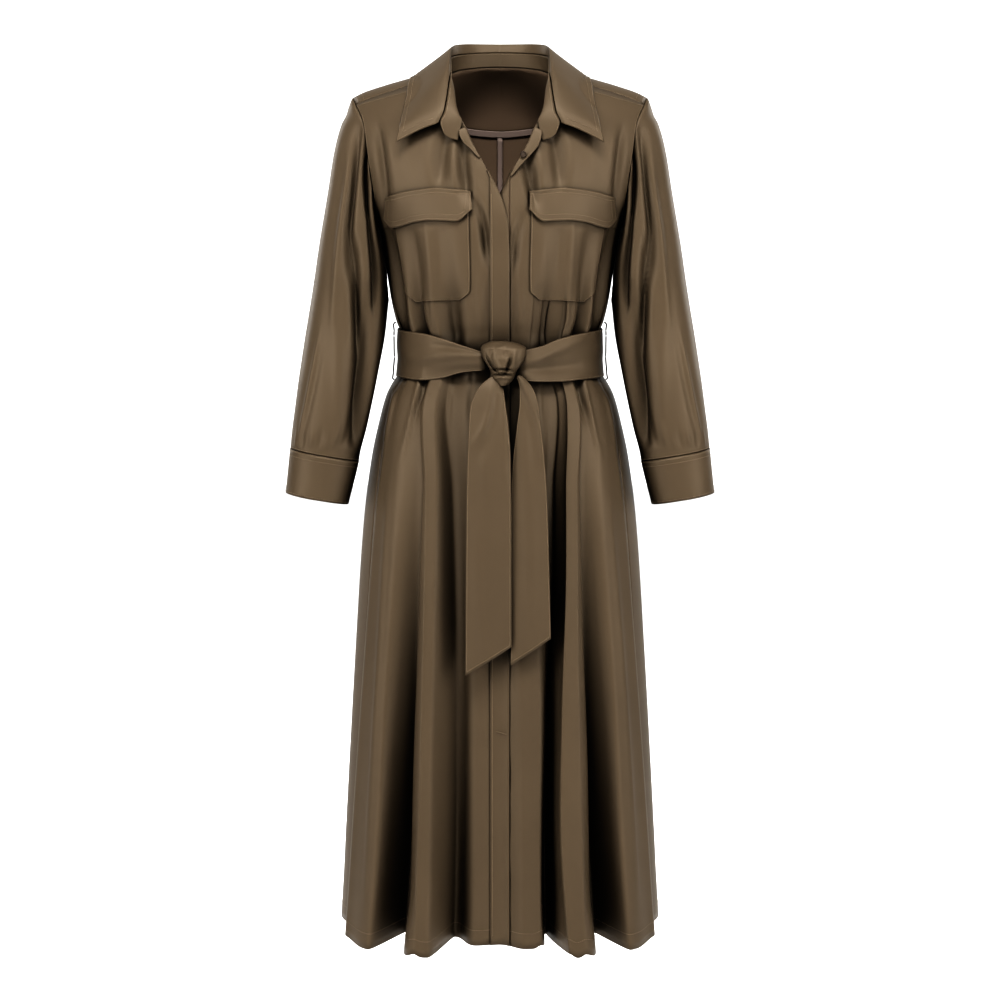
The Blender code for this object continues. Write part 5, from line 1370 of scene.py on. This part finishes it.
def vectors(chart, name, around):
    return np.stack([read(chart, name + axis, around) for axis in ("_x", "_y", "_z")], axis=-1)


def neck_at(around):
    """The neck seam of the body under the collar, up to where the front rolls back."""
    behind = neck_seam(0.5 + 0.5 * np.minimum(around, FRONT_NECK) / FRONT_NECK)
    share = np.clip((around - FRONT_NECK) / (ROLLS_BACK - FRONT_NECK), 0.0, 1.0)
    height = mix(FRONT_TOP, ROLLS_BACK_HEIGHT, share)
    before = front_point(read(NECK_FRONT, "x", height), height)
    return np.where((around <= FRONT_NECK)[:, None], behind, before)


def surface_depth(x, height, back):
    """How deep the body is, front or back, at a distance from the centre and a height."""
    degrees = degrees_at(x, height)
    deep = np.abs(plain(np.where(back, 180.0 - degrees, degrees), height)[0][..., 1])
    return np.where(shoulder_line(x) - height <= 0.0, 0.0, deep)


def lifted(points, clearance):
    """Moves points out of the body, upwards or outwards, whichever is nearer."""
    x, y, z = points[..., 0], points[..., 1], points[..., 2]
    back = y > 0
    wanted = surface_depth(x, z, back) + clearance - np.abs(y)
    touching = (wanted > 0.0) & (z <= shoulder_line(x) + clearance)
    low, high = z.copy(), shoulder_line(x)
    for _ in range(20):
        middle = (low + high) / 2.0
        deeper = surface_depth(x, middle, back) > np.abs(y)
        low, high = np.where(deeper, middle, low), np.where(deeper, high, middle)
    rise = high + clearance - z
    outwards = touching & (wanted < rise)
    upwards = touching & ~(wanted < rise)
    moved = points.copy()
    moved[..., 1] = np.where(outwards, y + np.sign(y) * wanted, y)
    moved[..., 2] = np.where(upwards, z + rise, z)
    return moved


def both_halves(half):
    """A whole grid from its left half, whose columns start at the centre back."""
    return np.concatenate((half[:, :0:-1] * (-1.0, 1.0, 1.0), half), axis=1)


print("collar wall mm:", COLLAR_WALL / MM)

# %% The stand
def stand_rows(around):
    """The left half of the stand: rows from its seam to its top edge, bent through its middle line."""
    middle, top = vectors(STAND, "mid", around), vectors(STAND, "top", around)
    seam = neck_at(np.minimum(around, ROLLS_BACK)) + (0.0, 0.0, STAND_RISE)
    seam[:, 1] -= STAND_FORWARD * ease((around - FRONT_NECK) / 0.1)
    past = np.clip((around - ROLLS_BACK) / 0.14, 0.0, 1.0)[:, None]
    seam = mix(seam, STAND_END, past)
    rows = []
    for share in spaced(0.0, 14, 1.0):
        first, last = (1 - share) ** 2, share ** 2
        bend = middle * 2.0 - (seam + top) / 2.0
        rows.append(seam * first + bend * 2.0 * share * (1 - share) + top * last)
    return np.array(rows)


STAND_PLACES = spaced(0.0, 60, ROLLS_BACK, 20, 1.0)
STAND_GRID = both_halves(stand_rows(STAND_PLACES))
cloth("dress_collar_stand", STAND_GRID, "collar_stand", wall=COLLAR_WALL, flip=True)

# %% The leaf
def leaf_rows(around):
    """The left half of the leaf: rows from the stand up over the roll, and down to its edge."""
    start = vectors(STAND, "top", around)
    roll, edge = vectors(LEAF, "roll", around), vectors(LEAF, "edge", around)
    side = (edge - roll) * (1.0, 1.0, 0.0)
    lift = unit(np.array((0.0, 0.0, 0.6)) + unit(side)) * read(LEAF, "bulge", around)[:, None]
    away = ease((around - 0.5) / 0.12)
    begin = start + unit(roll - start) * mix(LEAF_START, LEAF_START_FRONT, away)[:, None]
    rows = [mix(begin, roll, share) for share in spaced(0.0, 8, 0.92)]
    for share in spaced(0.05, 22, 1.0):
        point = mix(roll, edge, share) + lift * math.sin(math.pi * share ** 0.7)
        rows.append(lifted(point, LEAF_AIR + COLLAR_WALL))
    return np.array(rows)


LEAF_PLACES = spaced(0.0, 76, 0.94)
LEAF_GRID = both_halves(leaf_rows(LEAF_PLACES))
cloth("dress_collar", LEAF_GRID, "collar", wall=COLLAR_WALL, flip=True)

# %% [markdown]
# ## Belt
# A tie belt of the same cloth goes once round the waist and knots in front, a little to the wearer's
# left of centre. A soft belt never stays flat: it crumples lengthwise into ridges that run into the
# knot. A plain band with a bump texture would lose them at its edges, so the ridges are in the mesh,
# as lines over the degrees around and the share of the belt's width.

# %% Belt tables
BELT_WALL = 2.0 * MM
BELT_LEFT = table("degrees top bottom out", [
    (5.0, -0.3740, -0.4120, 0.0130), (9.5, -0.3735, -0.4130, 0.0215), (12.0, -0.3725, -0.4145, 0.0235),
    (15.0, -0.3705, -0.4155, 0.0225), (20, -0.3680, -0.4160, 0.0190), (31, -0.3590, -0.4165, 0.0125),
    (46, -0.3525, -0.4150, 0.0095), (70, -0.3490, -0.4140, 0.0068), (90, -0.3480, -0.4130, 0.0048),
    (130, -0.3490, -0.4115, 0.0092), (180, -0.3500, -0.4115, 0.0084),
])
BELT_RIGHT = table("degrees top bottom out", [
    (4.0, -0.3745, -0.3990, 0.0130), (7.0, -0.3742, -0.4000, 0.0215), (9.0, -0.3738, -0.4008, 0.0235),
    (12.0, -0.3715, -0.4015, 0.0225), (19, -0.3660, -0.4040, 0.0190), (31, -0.3580, -0.4120, 0.0125),
    (44, -0.3520, -0.4156, 0.0095), (70, -0.3490, -0.4140, 0.0068), (90, -0.3480, -0.4130, 0.0048),
    (130, -0.3490, -0.4115, 0.0092), (180, -0.3500, -0.4115, 0.0084),
])
# Lengthwise ridges and troughs of the belt: from degrees and share of its width to another, mm out.
BELT_RIDGES = table("from_deg from_share to_deg to_share width height", [
    (-64, 0.66, -5, 0.26, 0.15, 3.2), (-38, 0.22, -6, 0.10, 0.08, -2.2),
    (-44, 0.96, -4, 0.90, 0.22, -5.0), (-110, 0.35, -50, 0.48, 0.20, 0.9),
    (-78, 0.80, -40, 0.70, 0.14, -0.8), (4, 0.42, 56, 0.08, 0.14, 3.0),
    (5, 0.62, 50, 0.70, 0.13, -3.4), (8, 0.96, 50, 0.98, 0.10, 1.4),
    (30, 0.36, 90, 0.40, 0.16, 0.8), (60, 0.45, 120, 0.60, 0.16, 0.8),
    (110, 0.35, 175, 0.45, 0.14, 1.2), (130, 0.75, 195, 0.70, 0.12, -1.0),
    (185, 0.30, 250, 0.40, 0.14, 1.2), (200, 0.65, 262, 0.75, 0.12, 1.0),
])
print("ridges of the belt:", len(BELT_RIDGES["width"]))

# %% The belt
EDGE_ROUNDING = 0.0022    # how far the belt's two long edges turn in


def belt_part(side, degrees, share):
    """Points of one side of the belt at degrees around and shares of its width, with its ridges."""
    chart = BELT_LEFT if side > 0 else BELT_RIGHT
    top, bottom, out = (read(chart, name, degrees) for name in ("top", "bottom", "out"))
    height = mix(top, bottom, share)
    point, away = plain(side * degrees, height)
    signed = side * degrees
    push = np.zeros_like(height)
    for d0, s0, d1, s1, width, rise in zip(*BELT_RIDGES.values()):
        for turned in (signed, signed + 360.0):
            t = (turned - d0) / (d1 - d0)
            inside = (t > 0) & (t < 1)
            line = mix(s0, s1, np.clip(t, 0, 1))
            ridge = np.exp(-((share - line) / width) ** 2) * np.sin(math.pi * np.clip(t, 0, 1)) ** 0.6
            push += np.where(inside, rise * MM * ridge, 0.0)
    rounding = -EDGE_ROUNDING * (2.0 * share - 1.0) ** 4
    return point + away * (out + push + rounding)[..., None]


def belt_grid():
    """The belt from the right of the knot round the back to the left of it."""
    share = spaced(0.0, 30, 1.0)[:, None]
    right = np.broadcast_arrays(spaced(4.0, 40, 20.0, 100, 180.0)[None, :-1], share)
    left = np.broadcast_arrays(spaced(180.0, 98, 22.0, 40, 5.0)[None, :], share)
    return np.concatenate((belt_part(-1, *right), belt_part(1, *left)), axis=1)


BELT = belt_grid()
cloth("dress_belt", BELT, "belt", wall=BELT_WALL, flip=True)

# %% [markdown]
# ## Knot
# The knot is the belt's own cloth wrapped over itself. Tying a strip in a simulation takes long and
# rarely ends in the same shape twice. Here it is a small closed bundle, built ring on ring from top to
# bottom, and crease lines on its front give the wraps and the tucks between them.

# %% Knot
KNOT = table("height left right front back", [
    (-0.3600, -0.0060, 0.0060, 0.003, 0.002),
    (-0.3618, -0.0150, 0.0170, 0.008, 0.004),
    (-0.3645, -0.0215, 0.0260, 0.012, 0.006),
    (-0.3675, -0.0250, 0.0325, 0.016, 0.008),
    (-0.3710, -0.0262, 0.0355, 0.019, 0.0088),
    (-0.3780, -0.0252, 0.0352, 0.021, 0.009),
    (-0.3860, -0.0218, 0.0325, 0.023, 0.009),
    (-0.3940, -0.0170, 0.0275, 0.023, 0.009),
    (-0.4010, -0.0132, 0.0228, 0.0215, 0.008),
    (-0.4040, -0.0128, 0.0215, 0.0205, 0.007),
    (-0.4100, -0.0118, 0.0195, 0.0195, 0.006),
    (-0.4160, -0.0068, 0.0150, 0.0180, 0.004),
    (-0.4200, -0.0040, 0.0100, 0.0165, 0.003),
])
KNOT_Y = -0.1170
# Folds of the wrapped cloth: lines across the knot's front in millimetres.
KNOT_CREASES = table(CREASE_COLUMNS, [
    (-19, -378, -1, -404, 2, 1.6, -4.5), (15, -380, 5, -406, -1, 2.2, -5.5),
    (-25, -371, -6, -369, -1, 2.5, 1.4), (-6, -369, 10, -364, 1, 2.5, 1.2),
    (-10, -371, 2, -402, 2, 3.0, 2.4), (-6, -366, -14, -384, 1, 3.0, -1.6),
    (22, -372, 19, -400, 2, 3.0, 2.2), (8, -372, 9, -384, 0, 3.0, -1.4),
    (-14, -400, 20, -401, -3.0, 1.3, -3.0), (-13, -407, 20, -407, -2.5, 1.1, -2.6),
    (-12, -403.5, 19, -404, -2.8, 1.8, 1.8), (-10, -411, 17, -411, -2.2, 2.2, 1.6),
    (-21, -384, -13, -400, 1, 2.0, 1.6), (30, -384, 21, -400, -1, 2.0, 1.4),
])


def knot_grid():
    """Rings of the knot from top to bottom, creased in front."""
    turns = np.radians(spaced(0.0, 176, 360.0)[:-1])
    rows = []
    for height in -spaced(0.3602, 30, 0.3780, 80, 0.4200):
        left, right, front, back = (float(read(KNOT, edge, height)) for edge in list(KNOT)[1:])
        x = (left + right) / 2.0 + (right - left) / 2.0 * power(np.cos(turns), 0.8)
        deep = np.where(np.sin(turns) > 0, front, back)
        y = KNOT_Y - deep * power(np.sin(turns), 0.8)
        facing = np.clip(np.sin(turns) * 2.0, 0.0, 1.0)
        y = y - creased(KNOT_CREASES, x / MM, np.full(x.shape, height / MM)) * facing
        rows.append(np.stack([x, y, np.full(x.shape, height)], axis=-1))
    return np.array(rows)


knot_points = knot_grid()
knot_quads = faces_of(knot_points.shape[0], knot_points.shape[1], True, False)
knot = mesh_of("dress_belt_knot", knot_points, knot_quads, FINISH["olive_satin_crepe"])
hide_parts("belt_knot")
print("knot, rings and points of each:", knot_points.shape[:2])

# %% [markdown]
# ## Tails
# The two ends of the belt come out under the knot and hang down to the thigh, cut on a slant. Near the
# knot they are gathered narrow and keep a few lengthwise folds, and lower down they hang nearly flat.
# A strip between two edge lines, with its own heights left and right, makes the slant by itself.

# %% Tails
TAIL_RIGHT = table("share left right y left_z right_z", [
    (0.00, -0.0095, 0.0040, -0.1290, -0.4060, -0.4235),
    (0.02, -0.0250, 0.0055, -0.1345, -0.4180, -0.4290),
    (0.04, -0.0330, 0.0062, -0.1370, -0.4290, -0.4350),
    (0.09, -0.0400, 0.0082, -0.1400, -0.4480, -0.4480),
    (0.18, -0.0425, 0.0120, -0.1430, -0.4800, -0.4760),
    (0.35, -0.0450, 0.0150, -0.1460, -0.5500, -0.5360),
    (0.60, -0.0462, 0.0153, -0.1490, -0.6550, -0.6300),
    (1.00, -0.0470, 0.0153, -0.1530, -0.8110, -0.7720),
])
TAIL_LEFT = table("share left right y left_z right_z", [
    (0.00, 0.0222, 0.0262, -0.1280, -0.4075, -0.4055),
    (0.02, 0.0245, 0.0335, -0.1300, -0.4140, -0.4110),
    (0.05, 0.0265, 0.0430, -0.1320, -0.4250, -0.4220),
    (0.09, 0.0265, 0.0495, -0.1335, -0.4400, -0.4380),
    (0.18, 0.0225, 0.0545, -0.1360, -0.4750, -0.4700),
    (0.30, 0.0165, 0.0595, -0.1385, -0.5250, -0.5130),
    (0.45, 0.0142, 0.0635, -0.1410, -0.5850, -0.5680),
    (0.60, 0.0140, 0.0655, -0.1430, -0.6480, -0.6250),
    (1.00, 0.0140, 0.0690, -0.1480, -0.7980, -0.7610),
])
TAIL_CREASES = table(CREASE_COLUMNS, [
    (-12, -420, -39, -500, -9, 4, 2.2), (-4, -424, -30, -520, -6, 8, -2.6),
    (2, -430, 8, -560, -2, 4, 1.8), (-16, -450, -20, -560, 2, 8, 1.2),
    (-30, -600, -20, -790, 4, 9, 1.0), (25, -408, 58, -530, -9, 3.5, 2.2),
    (26, -425, 46, -540, -6, 7, -2.4), (26, -430, 15, -520, 3, 3.5, 2.2),
    (40, -560, 36, -780, -4, 9, 1.2), (24, -520, 26, -700, 1, 7, -1.0),
])
TAIL_BELLY = 0.003        # how far a tail's middle stands out between its edges


def tail_grid(chart):
    """Outer face of a tail, from the knot to its slanted end, with more rows near the knot."""
    share = (spaced(0.0, 90, 1.0) ** 1.3)[:, None]
    across = spaced(0.0, 22, 1.0)[None, :]
    left, right, y, left_z, right_z = (read(chart, name, share) for name in list(chart)[1:])
    x, z = mix(left, right, across), mix(left_z, right_z, across)
    out = creased(TAIL_CREASES, x / MM, z / MM) * ease(share / 0.05)
    out = out + TAIL_BELLY * np.sin(math.pi * across)
    return np.stack(np.broadcast_arrays(x, y - out, z), axis=-1)


TAILS = {}
for word, chart in (("right", TAIL_RIGHT), ("left", TAIL_LEFT)):
    TAILS[word] = tail_grid(chart)
    cloth("dress_belt_tail_" + word, TAILS[word], "belt_tail_" + word)

# %% [markdown]
# ## Thread loops
# A loop of twisted thread at each side seam holds the belt. A curve with a bevel would do as well. The
# small tube here is a plain mesh, so that its size is easy to measure.

# %% Thread loops
def tube(name, path, radius, finish, sides=8):
    """A round cord along a path of points."""
    path = np.asarray(path, float)
    along = unit(np.gradient(path, axis=0))
    first = unit(np.cross(along, np.array((0.0, 0.0, 1.0)) + along * 0.01 + (1e-4, 2e-4, 0.0)))
    second = np.cross(along, first)
    turns = np.linspace(0.0, 2.0 * math.pi, sides, endpoint=False)
    ring = first[:, None] * np.cos(turns)[None, :, None] + second[:, None] * np.sin(turns)[None, :, None]
    points = path[:, None] + ring * radius
    quads = faces_of(len(path), sides, True, False)
    return mesh_of(name, points, quads, finish)


LOOP = table("step height out", [
    (0, -0.3395, 0.0011), (1, -0.3405, 0.0036), (2, -0.3440, 0.0062), (3, -0.3560, 0.0086),
    (4, -0.3810, 0.0096), (5, -0.4010, 0.0088), (6, -0.4130, 0.0068), (7, -0.4178, 0.0040),
    (8, -0.4190, 0.0011),
])
LOOP_DEGREES = 88.0       # where a loop sits, around from the centre front
LOOP_RADIUS = 0.0010
for side, word in ((1, "left"), (-1, "right")):
    steps = spaced(0.0, 96, 8.0)
    spot, away = plain(side * LOOP_DEGREES, read(LOOP, "height", steps))
    middle = spot + away * read(LOOP, "out", steps)[:, None]
    loop = tube("dress_belt_loop_" + word, middle, LOOP_RADIUS, FINISH["dark_thread"])
    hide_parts("belt_loop_" + word)
    length = np.linalg.norm(np.diff(middle, axis=0), axis=1).sum()
    print("belt loop", word, "length mm:", round(float(length) / MM))

# %% [markdown]
# ## Top button
# Only the top button shows, undone, at the edge of the open neck. A button is turned on a lathe, so half
# of its section is written down and turned round its axis.

# %% Button
BUTTON_PLACE = front_point(0.0272, -0.1110) + (0.0040, -0.0073, 0.0)
# Half of the button's section: distance from its middle and height, in millimetres.
BUTTON = table("radius rise", [
    (0.0, 0.4), (0.9, 0.45), (2.2, 0.6), (3.1, 1.1), (3.7, 1.2), (4.1, 0.9), (4.2, 0.0), (4.1, -0.8),
    (3.6, -1.1), (0.0, -1.1),
])
radius, rise = BUTTON["radius"][:, None] * MM, BUTTON["rise"][:, None] * MM
turns = np.linspace(0.0, 2.0 * math.pi, 48, endpoint=False)
grid = np.stack([radius * np.cos(turns), radius * np.sin(turns), rise + 0.0 * turns], axis=-1)
button_quads = faces_of(len(radius), len(turns), True, False)
button = mesh_of("dress_top_button", grid, button_quads, FINISH["dark_button"])
button.rotation_euler = (math.radians(90.0), 0.0, math.radians(20.0))
button.location = BUTTON_PLACE
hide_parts("top_button")
print("button at", [round(float(v), 4) for v in BUTTON_PLACE])

# %% [markdown]
# ## Bound seam edges
# Inside the back the seam edges are bound with tape, and two of the tapes show through the neck: one
# along the yoke seam and one down the centre back. They lie just inside the cloth, so each takes its
# points from the same skin, moved inwards.

# %% Binding of the yoke seam
BINDING_WIDTH = 0.0095
BINDING_AIR = 0.0011      # between a back and its bound seam edges
INWARD = WALL + BINDING_AIR


def facing_out(degrees, height):
    """The true outward direction of the plain body, which leans upwards over the shoulders."""
    along = plain(degrees + 0.2, height)[0] - plain(degrees - 0.2, height)[0]
    up = plain(degrees, height + 0.0005)[0] - plain(degrees, height - 0.0005)[0]
    return unit(np.cross(along, up))


BINDING_REACH = 0.945     # how far along the yoke seam the tape goes, as a share
share = spaced(-BINDING_REACH, 96, BINDING_REACH)
degrees, seam_height = back_seam(np.abs(share))
degrees = np.where(share < 0, -degrees, degrees)
rows = []
for down in spaced(0.0, 6, 1.0):
    height = seam_height + BINDING_WIDTH * (0.5 - down)
    rows.append(plain(degrees, height)[0] - facing_out(degrees, height) * INWARD)
YOKE_BINDING = np.array(rows)
cloth("dress_yoke_binding", YOKE_BINDING, "yoke_binding", wall=TRIM_WALL,
      slot="taupe_binding", flip=True)

# %% Binding of the centre back seam
TAPE_HALF = 0.0036        # half the width of the tape that shows
TAPE_END = HEM + 0.012
CENTRE_BACK_LINE = np.array([len(LEFT_PLACES["around"]) - 1])


def centre_back_reach(height):
    """How far the last fold line reaches out, down the centre back."""
    if height >= FADE:
        return 0.0
    return float(fold_line(1, CENTRE_BACK_LINE, height)[1][0])


rows = []
for height in np.concatenate((-spaced(0.0830, 24, 0.211), SKIRT_ROWS[:-3], [TAPE_END])):
    lean = float(degrees_at(TAPE_HALF, height))
    row = []
    for place in (-1.0, -0.5, 0.0, 0.5, 1.0):
        side = np.sign(place - 0.01)
        point, away = plain(side * (180.0 - lean * abs(place) ** 1.08), height)
        row.append(point + away * (centre_back_reach(height) - INWARD))
    rows.append(row)
cloth("dress_back_seam_binding", np.array(rows), "back_seam_binding", wall=TRIM_WALL,
      slot="taupe_binding", flip=True)

# %% [markdown]
# ## Stitches
# Topstitching holds the edges flat: a lighter thread in short stitches, a little in from each edge, in
# one row or two. A row is a path over the grid of a piece, cut into stitches of even length, and each
# stitch is a tiny four-sided bead that stands half out of the cloth.

# %% Points over a grid
STITCH_PITCH = 0.0030
STITCH_LENGTH = 0.0022
STITCH_RADIUS = 0.00042
STITCH_OUT = 0.00012      # above the cloth
THIN_END = 0.45           # a stitch's ends, as a share of its radius
ROWS = {}


def over(grid, r, c, flip=False, ring=False, out=0.0):
    """Points of a grid at row and column numbers, with fractions, moved out."""
    away = facing_of(grid, ring=ring, flip=flip)
    rows, columns = grid.shape[:2]
    r, c = np.broadcast_arrays(np.asarray(r, float), np.asarray(c, float))
    i = np.clip(np.floor(r).astype(int), 0, rows - 2)
    j = np.floor(c).astype(int)
    j = j % columns if ring else np.clip(j, 0, columns - 2)
    k = (j + 1) % columns
    u = np.clip(r - i, 0.0, 1.0)[:, None]
    v = np.clip(c - np.floor(c) if ring else c - j, 0.0, 1.0)[:, None]
    values = grid + away * out
    upper = mix(values[i, j], values[i, k], v)
    lower = mix(values[i + 1, j], values[i + 1, k], v)
    return mix(upper, lower, u), unit(mix(away[i, j], away[i, k], v))


print("stitch mm:", STITCH_LENGTH / MM)


# %% A row of stitches
def stitch(group, points, normals, pitch=STITCH_PITCH, length=STITCH_LENGTH, radius=STITCH_RADIUS):
    """Adds a row of stitches along a path to a group."""
    run = np.concatenate(([0.0], np.cumsum(np.linalg.norm(np.diff(points, axis=0), axis=1))))
    starts = np.arange(pitch * 0.3, run[-1] - length, pitch)
    if len(starts) == 0:
        return

    def at(places):
        spots = np.stack([np.interp(places, run, points[:, axis]) for axis in range(3)], axis=-1)
        ups = np.stack([np.interp(places, run, normals[:, axis]) for axis in range(3)], axis=-1)
        return spots, unit(ups)

    beads = []
    for share, size in ((0.0, THIN_END), (0.5, 1.0), (1.0, THIN_END)):
        spot, up = at(starts + length * share)
        ahead = at(starts + length * share + 0.0004)[0]
        sideways = unit(np.cross(unit(ahead - spot + 1e-9), up))
        ring = [up, sideways, -up, -sideways]
        beads.append(np.stack([spot + way * radius * size for way in ring], axis=1))
    ROWS.setdefault(group, []).append(np.stack(beads, axis=1))


def path(*corners, steps=60):
    """Row and column numbers along straight lines between corners."""
    corners = np.array(corners, float)
    lines = [mix(a, b, np.linspace(0.0, 1.0, steps)[:, None]) for a, b in zip(corners[:-1], corners[1:])]
    line = np.concatenate(lines)
    return line[:, 0], line[:, 1]


def sew(group, grid, *corners, flip=False, ring=False, steps=60):
    """A row of stitches over a grid, along straight lines between corners (row, column)."""
    r, c = path(*corners, steps=steps)
    points, normals = over(grid, r, c, flip=flip, ring=ring, out=STITCH_OUT)
    stitch(group, points, normals)


print("stitches in 10 cm:", round(0.1 / STITCH_PITCH))

# %% Rows on flaps, pockets, fronts, backs, cuffs and tails
for side, word in ((1, "left"), (-1, "right")):
    flip = side < 0
    flap = FLAPS[side]
    end = flap.shape[1] - 1
    for inset, column in ((1.3, 1.6), (4.6, 5.6)):
        low, far = 24.0 - inset, end - column
        sew("flaps", flap, (3.6, column), (low, column + 0.4), (low, far), (3.6, far), flip=flip)
    for row in (1.0, 3.6):
        sew("flaps", flap, (row, 1.0), (row, end - 1.0), flip=flip)

    pocket = POCKETS[side]
    low, end = pocket.shape[0] - 1.5, pocket.shape[1] - 1
    sew("pockets", pocket, (0.0, 0.8), (low, 0.8), (low, end - 0.8), (0.0, end - 0.8), flip=flip)

    front = FRONTS[side]
    low, end = front.shape[0] - 1, front.shape[1] - 1
    sew("seams", front, (0.8, 1.0), (0.8, end - 1.0), flip=flip)
    sew("seams", front, (0.8, end - 1.6), (26.0, end - 1.6), flip=flip)
    sew("hem", front, (low - 2.0, 0.0), (low - 2.0, end), flip=flip, steps=400)

    back = BACKS[side]
    low, end = back.shape[0] - 1, back.shape[1] - 1
    sew("hem", back, (low - 2.0, 0.0), (low - 2.0, end), flip=not flip, steps=400)
    sew("seams", back, (0.8, end - 1.6), (24.0, end - 1.6), flip=not flip)

    end = float(len(SLEEVE_TURNS))
    for row in (0.5, 1.9, 13.3):
        sew("cuffs", CUFFS[side], (row, 0.0), (row, end), flip=flip, ring=True, steps=400)
    sleeve = SLEEVES[side]
    low = sleeve.shape[0] - 1.8
    sew("cuffs", sleeve, (low, 0.0), (low, end), flip=flip, ring=True, steps=400)

    tail = TAILS[word]
    low, end = tail.shape[0] - 1.8, tail.shape[1] - 1.7
    sew("belt", tail, (1.0, 0.7), (low, 0.7), (low, end), (1.0, end), steps=200)
print("rows of stitches:", {name: len(rows) for name, rows in ROWS.items()})

# %% Rows on belt, yoke, collar, placket and binding
for row in (0.9, 29.1):
    sew("belt", BELT, (row, 10.0), (row, BELT.shape[1] - 10.0), flip=True, steps=500)
for row in (12.6, 13.5):
    sew("seams", YOKE, (row, 1.0), (row, YOKE.shape[1] - 2.0), flip=True, steps=500)
low, end = LEAF_GRID.shape[0] - 1, LEAF_GRID.shape[1] - 1
for inset, column in ((0.7, 0.9), (3.2, 4.2)):
    corners = (10.0, column), (low - inset, column), (low - inset, end - column), (10.0, end - column)
    sew("collar", LEAF_GRID, *corners, flip=True, steps=300)
sew("collar", STAND_GRID[::-1], (1.0, 1.5), (1.0, STAND_GRID.shape[1] - 2.5), steps=400)
sew("placket", OVER, (8.0, 0.9), (OVER.shape[0] - 2.0, 0.9), steps=600)
middle = (YOKE_BINDING.shape[0] - 1) / 2.0
end = YOKE_BINDING.shape[1] - 2.0
sew("binding", YOKE_BINDING[:, ::-1], (middle, 1.0), (middle, end), flip=True, steps=300)
print("rows of stitches:", {name: len(rows) for name, rows in ROWS.items()})

# %% Bar tack
# A few tight stitches across the placket, below the ends of the belt's tails.
bar = front_point(np.linspace(-0.0057, 0.0101, 12), np.linspace(-0.8920, -0.8956, 12))
bar[:, 1] -= LAY + WALL + 0.0011
ahead = np.tile((0.0, -1.0, 0.0), (12, 1))
stitch("placket", bar, ahead, pitch=0.0011, length=0.0010, radius=0.0005)
print("bar tack mm:", round(float(np.ptp(bar[:, 0])) / MM, 1))

# %% Stitches as meshes
for group, parts in ROWS.items():
    beads = np.concatenate(parts)
    count = len(beads)
    rings = beads.reshape(count, 3, 4, 3)
    base = (np.arange(count) * 12)[:, None]
    quads = []
    for level in (0, 1):
        for k in range(4):
            a, b = level * 4 + k, level * 4 + (k + 1) % 4
            quads.append(np.concatenate([base + a, base + b, base + b + 4, base + a + 4], axis=1))
    made = mesh_of("dress_stitches_" + group, rings, np.concatenate(quads), STITCH)
    print("stitches", group, count)

# %% [markdown]
# ## What lies flat
# Each piece of cloth is set against the cut it was sewn from: the width and length of the cloth it was
# cut from, and the area of the piece itself where it isn't a rectangle. Its hung area over that of the
# cut is printed.

# %% Sheets
def sheet(name, width, length, area=None):
    """Prints the area of a hung piece over the area it was cut from (in metres)."""
    piece = bpy.data.objects["dress_" + name]
    hung = sum(face.area for face in piece.data.polygons)
    print(name, "hung area over cut:", round(hung / (area or width * length), 2))


TAIL_AREA = {"left": 0.0175, "right": 0.0220}
FACING_AREA = {"left": 0.0008, "right": 0.0006}
for word in ("left", "right"):
    sheet("front_" + word, 0.42, 1.20, 0.345)
    sheet("back_" + word, 0.46, 1.14, 0.405)
    sheet("sleeve_" + word, 0.36, 0.50, 0.135)
    sheet("cuff_" + word, 0.26, 0.063)
    sheet("pocket_" + word, 0.110, 0.137)
    sheet("flap_" + word, 0.118, 0.050, 0.0056)
    sheet("belt_tail_" + word, 0.064, 0.39, TAIL_AREA[word])
    sheet("facing_" + word, 0.018, 0.070, FACING_AREA[word])
sheet("yoke", 0.44, 0.170, 0.0510)
sheet("collar", 0.56, 0.100, 0.0400)
sheet("collar_stand", 0.48, 0.045, 0.0110)
sheet("placket_over", 0.030, 1.06, 0.0270)
sheet("placket_under", 0.028, 1.06, 0.0230)
sheet("belt", 0.76, 0.064)
sheet("yoke_binding", 0.37, 0.010)
sheet("back_seam_binding", 0.010, 1.10, 0.0080)
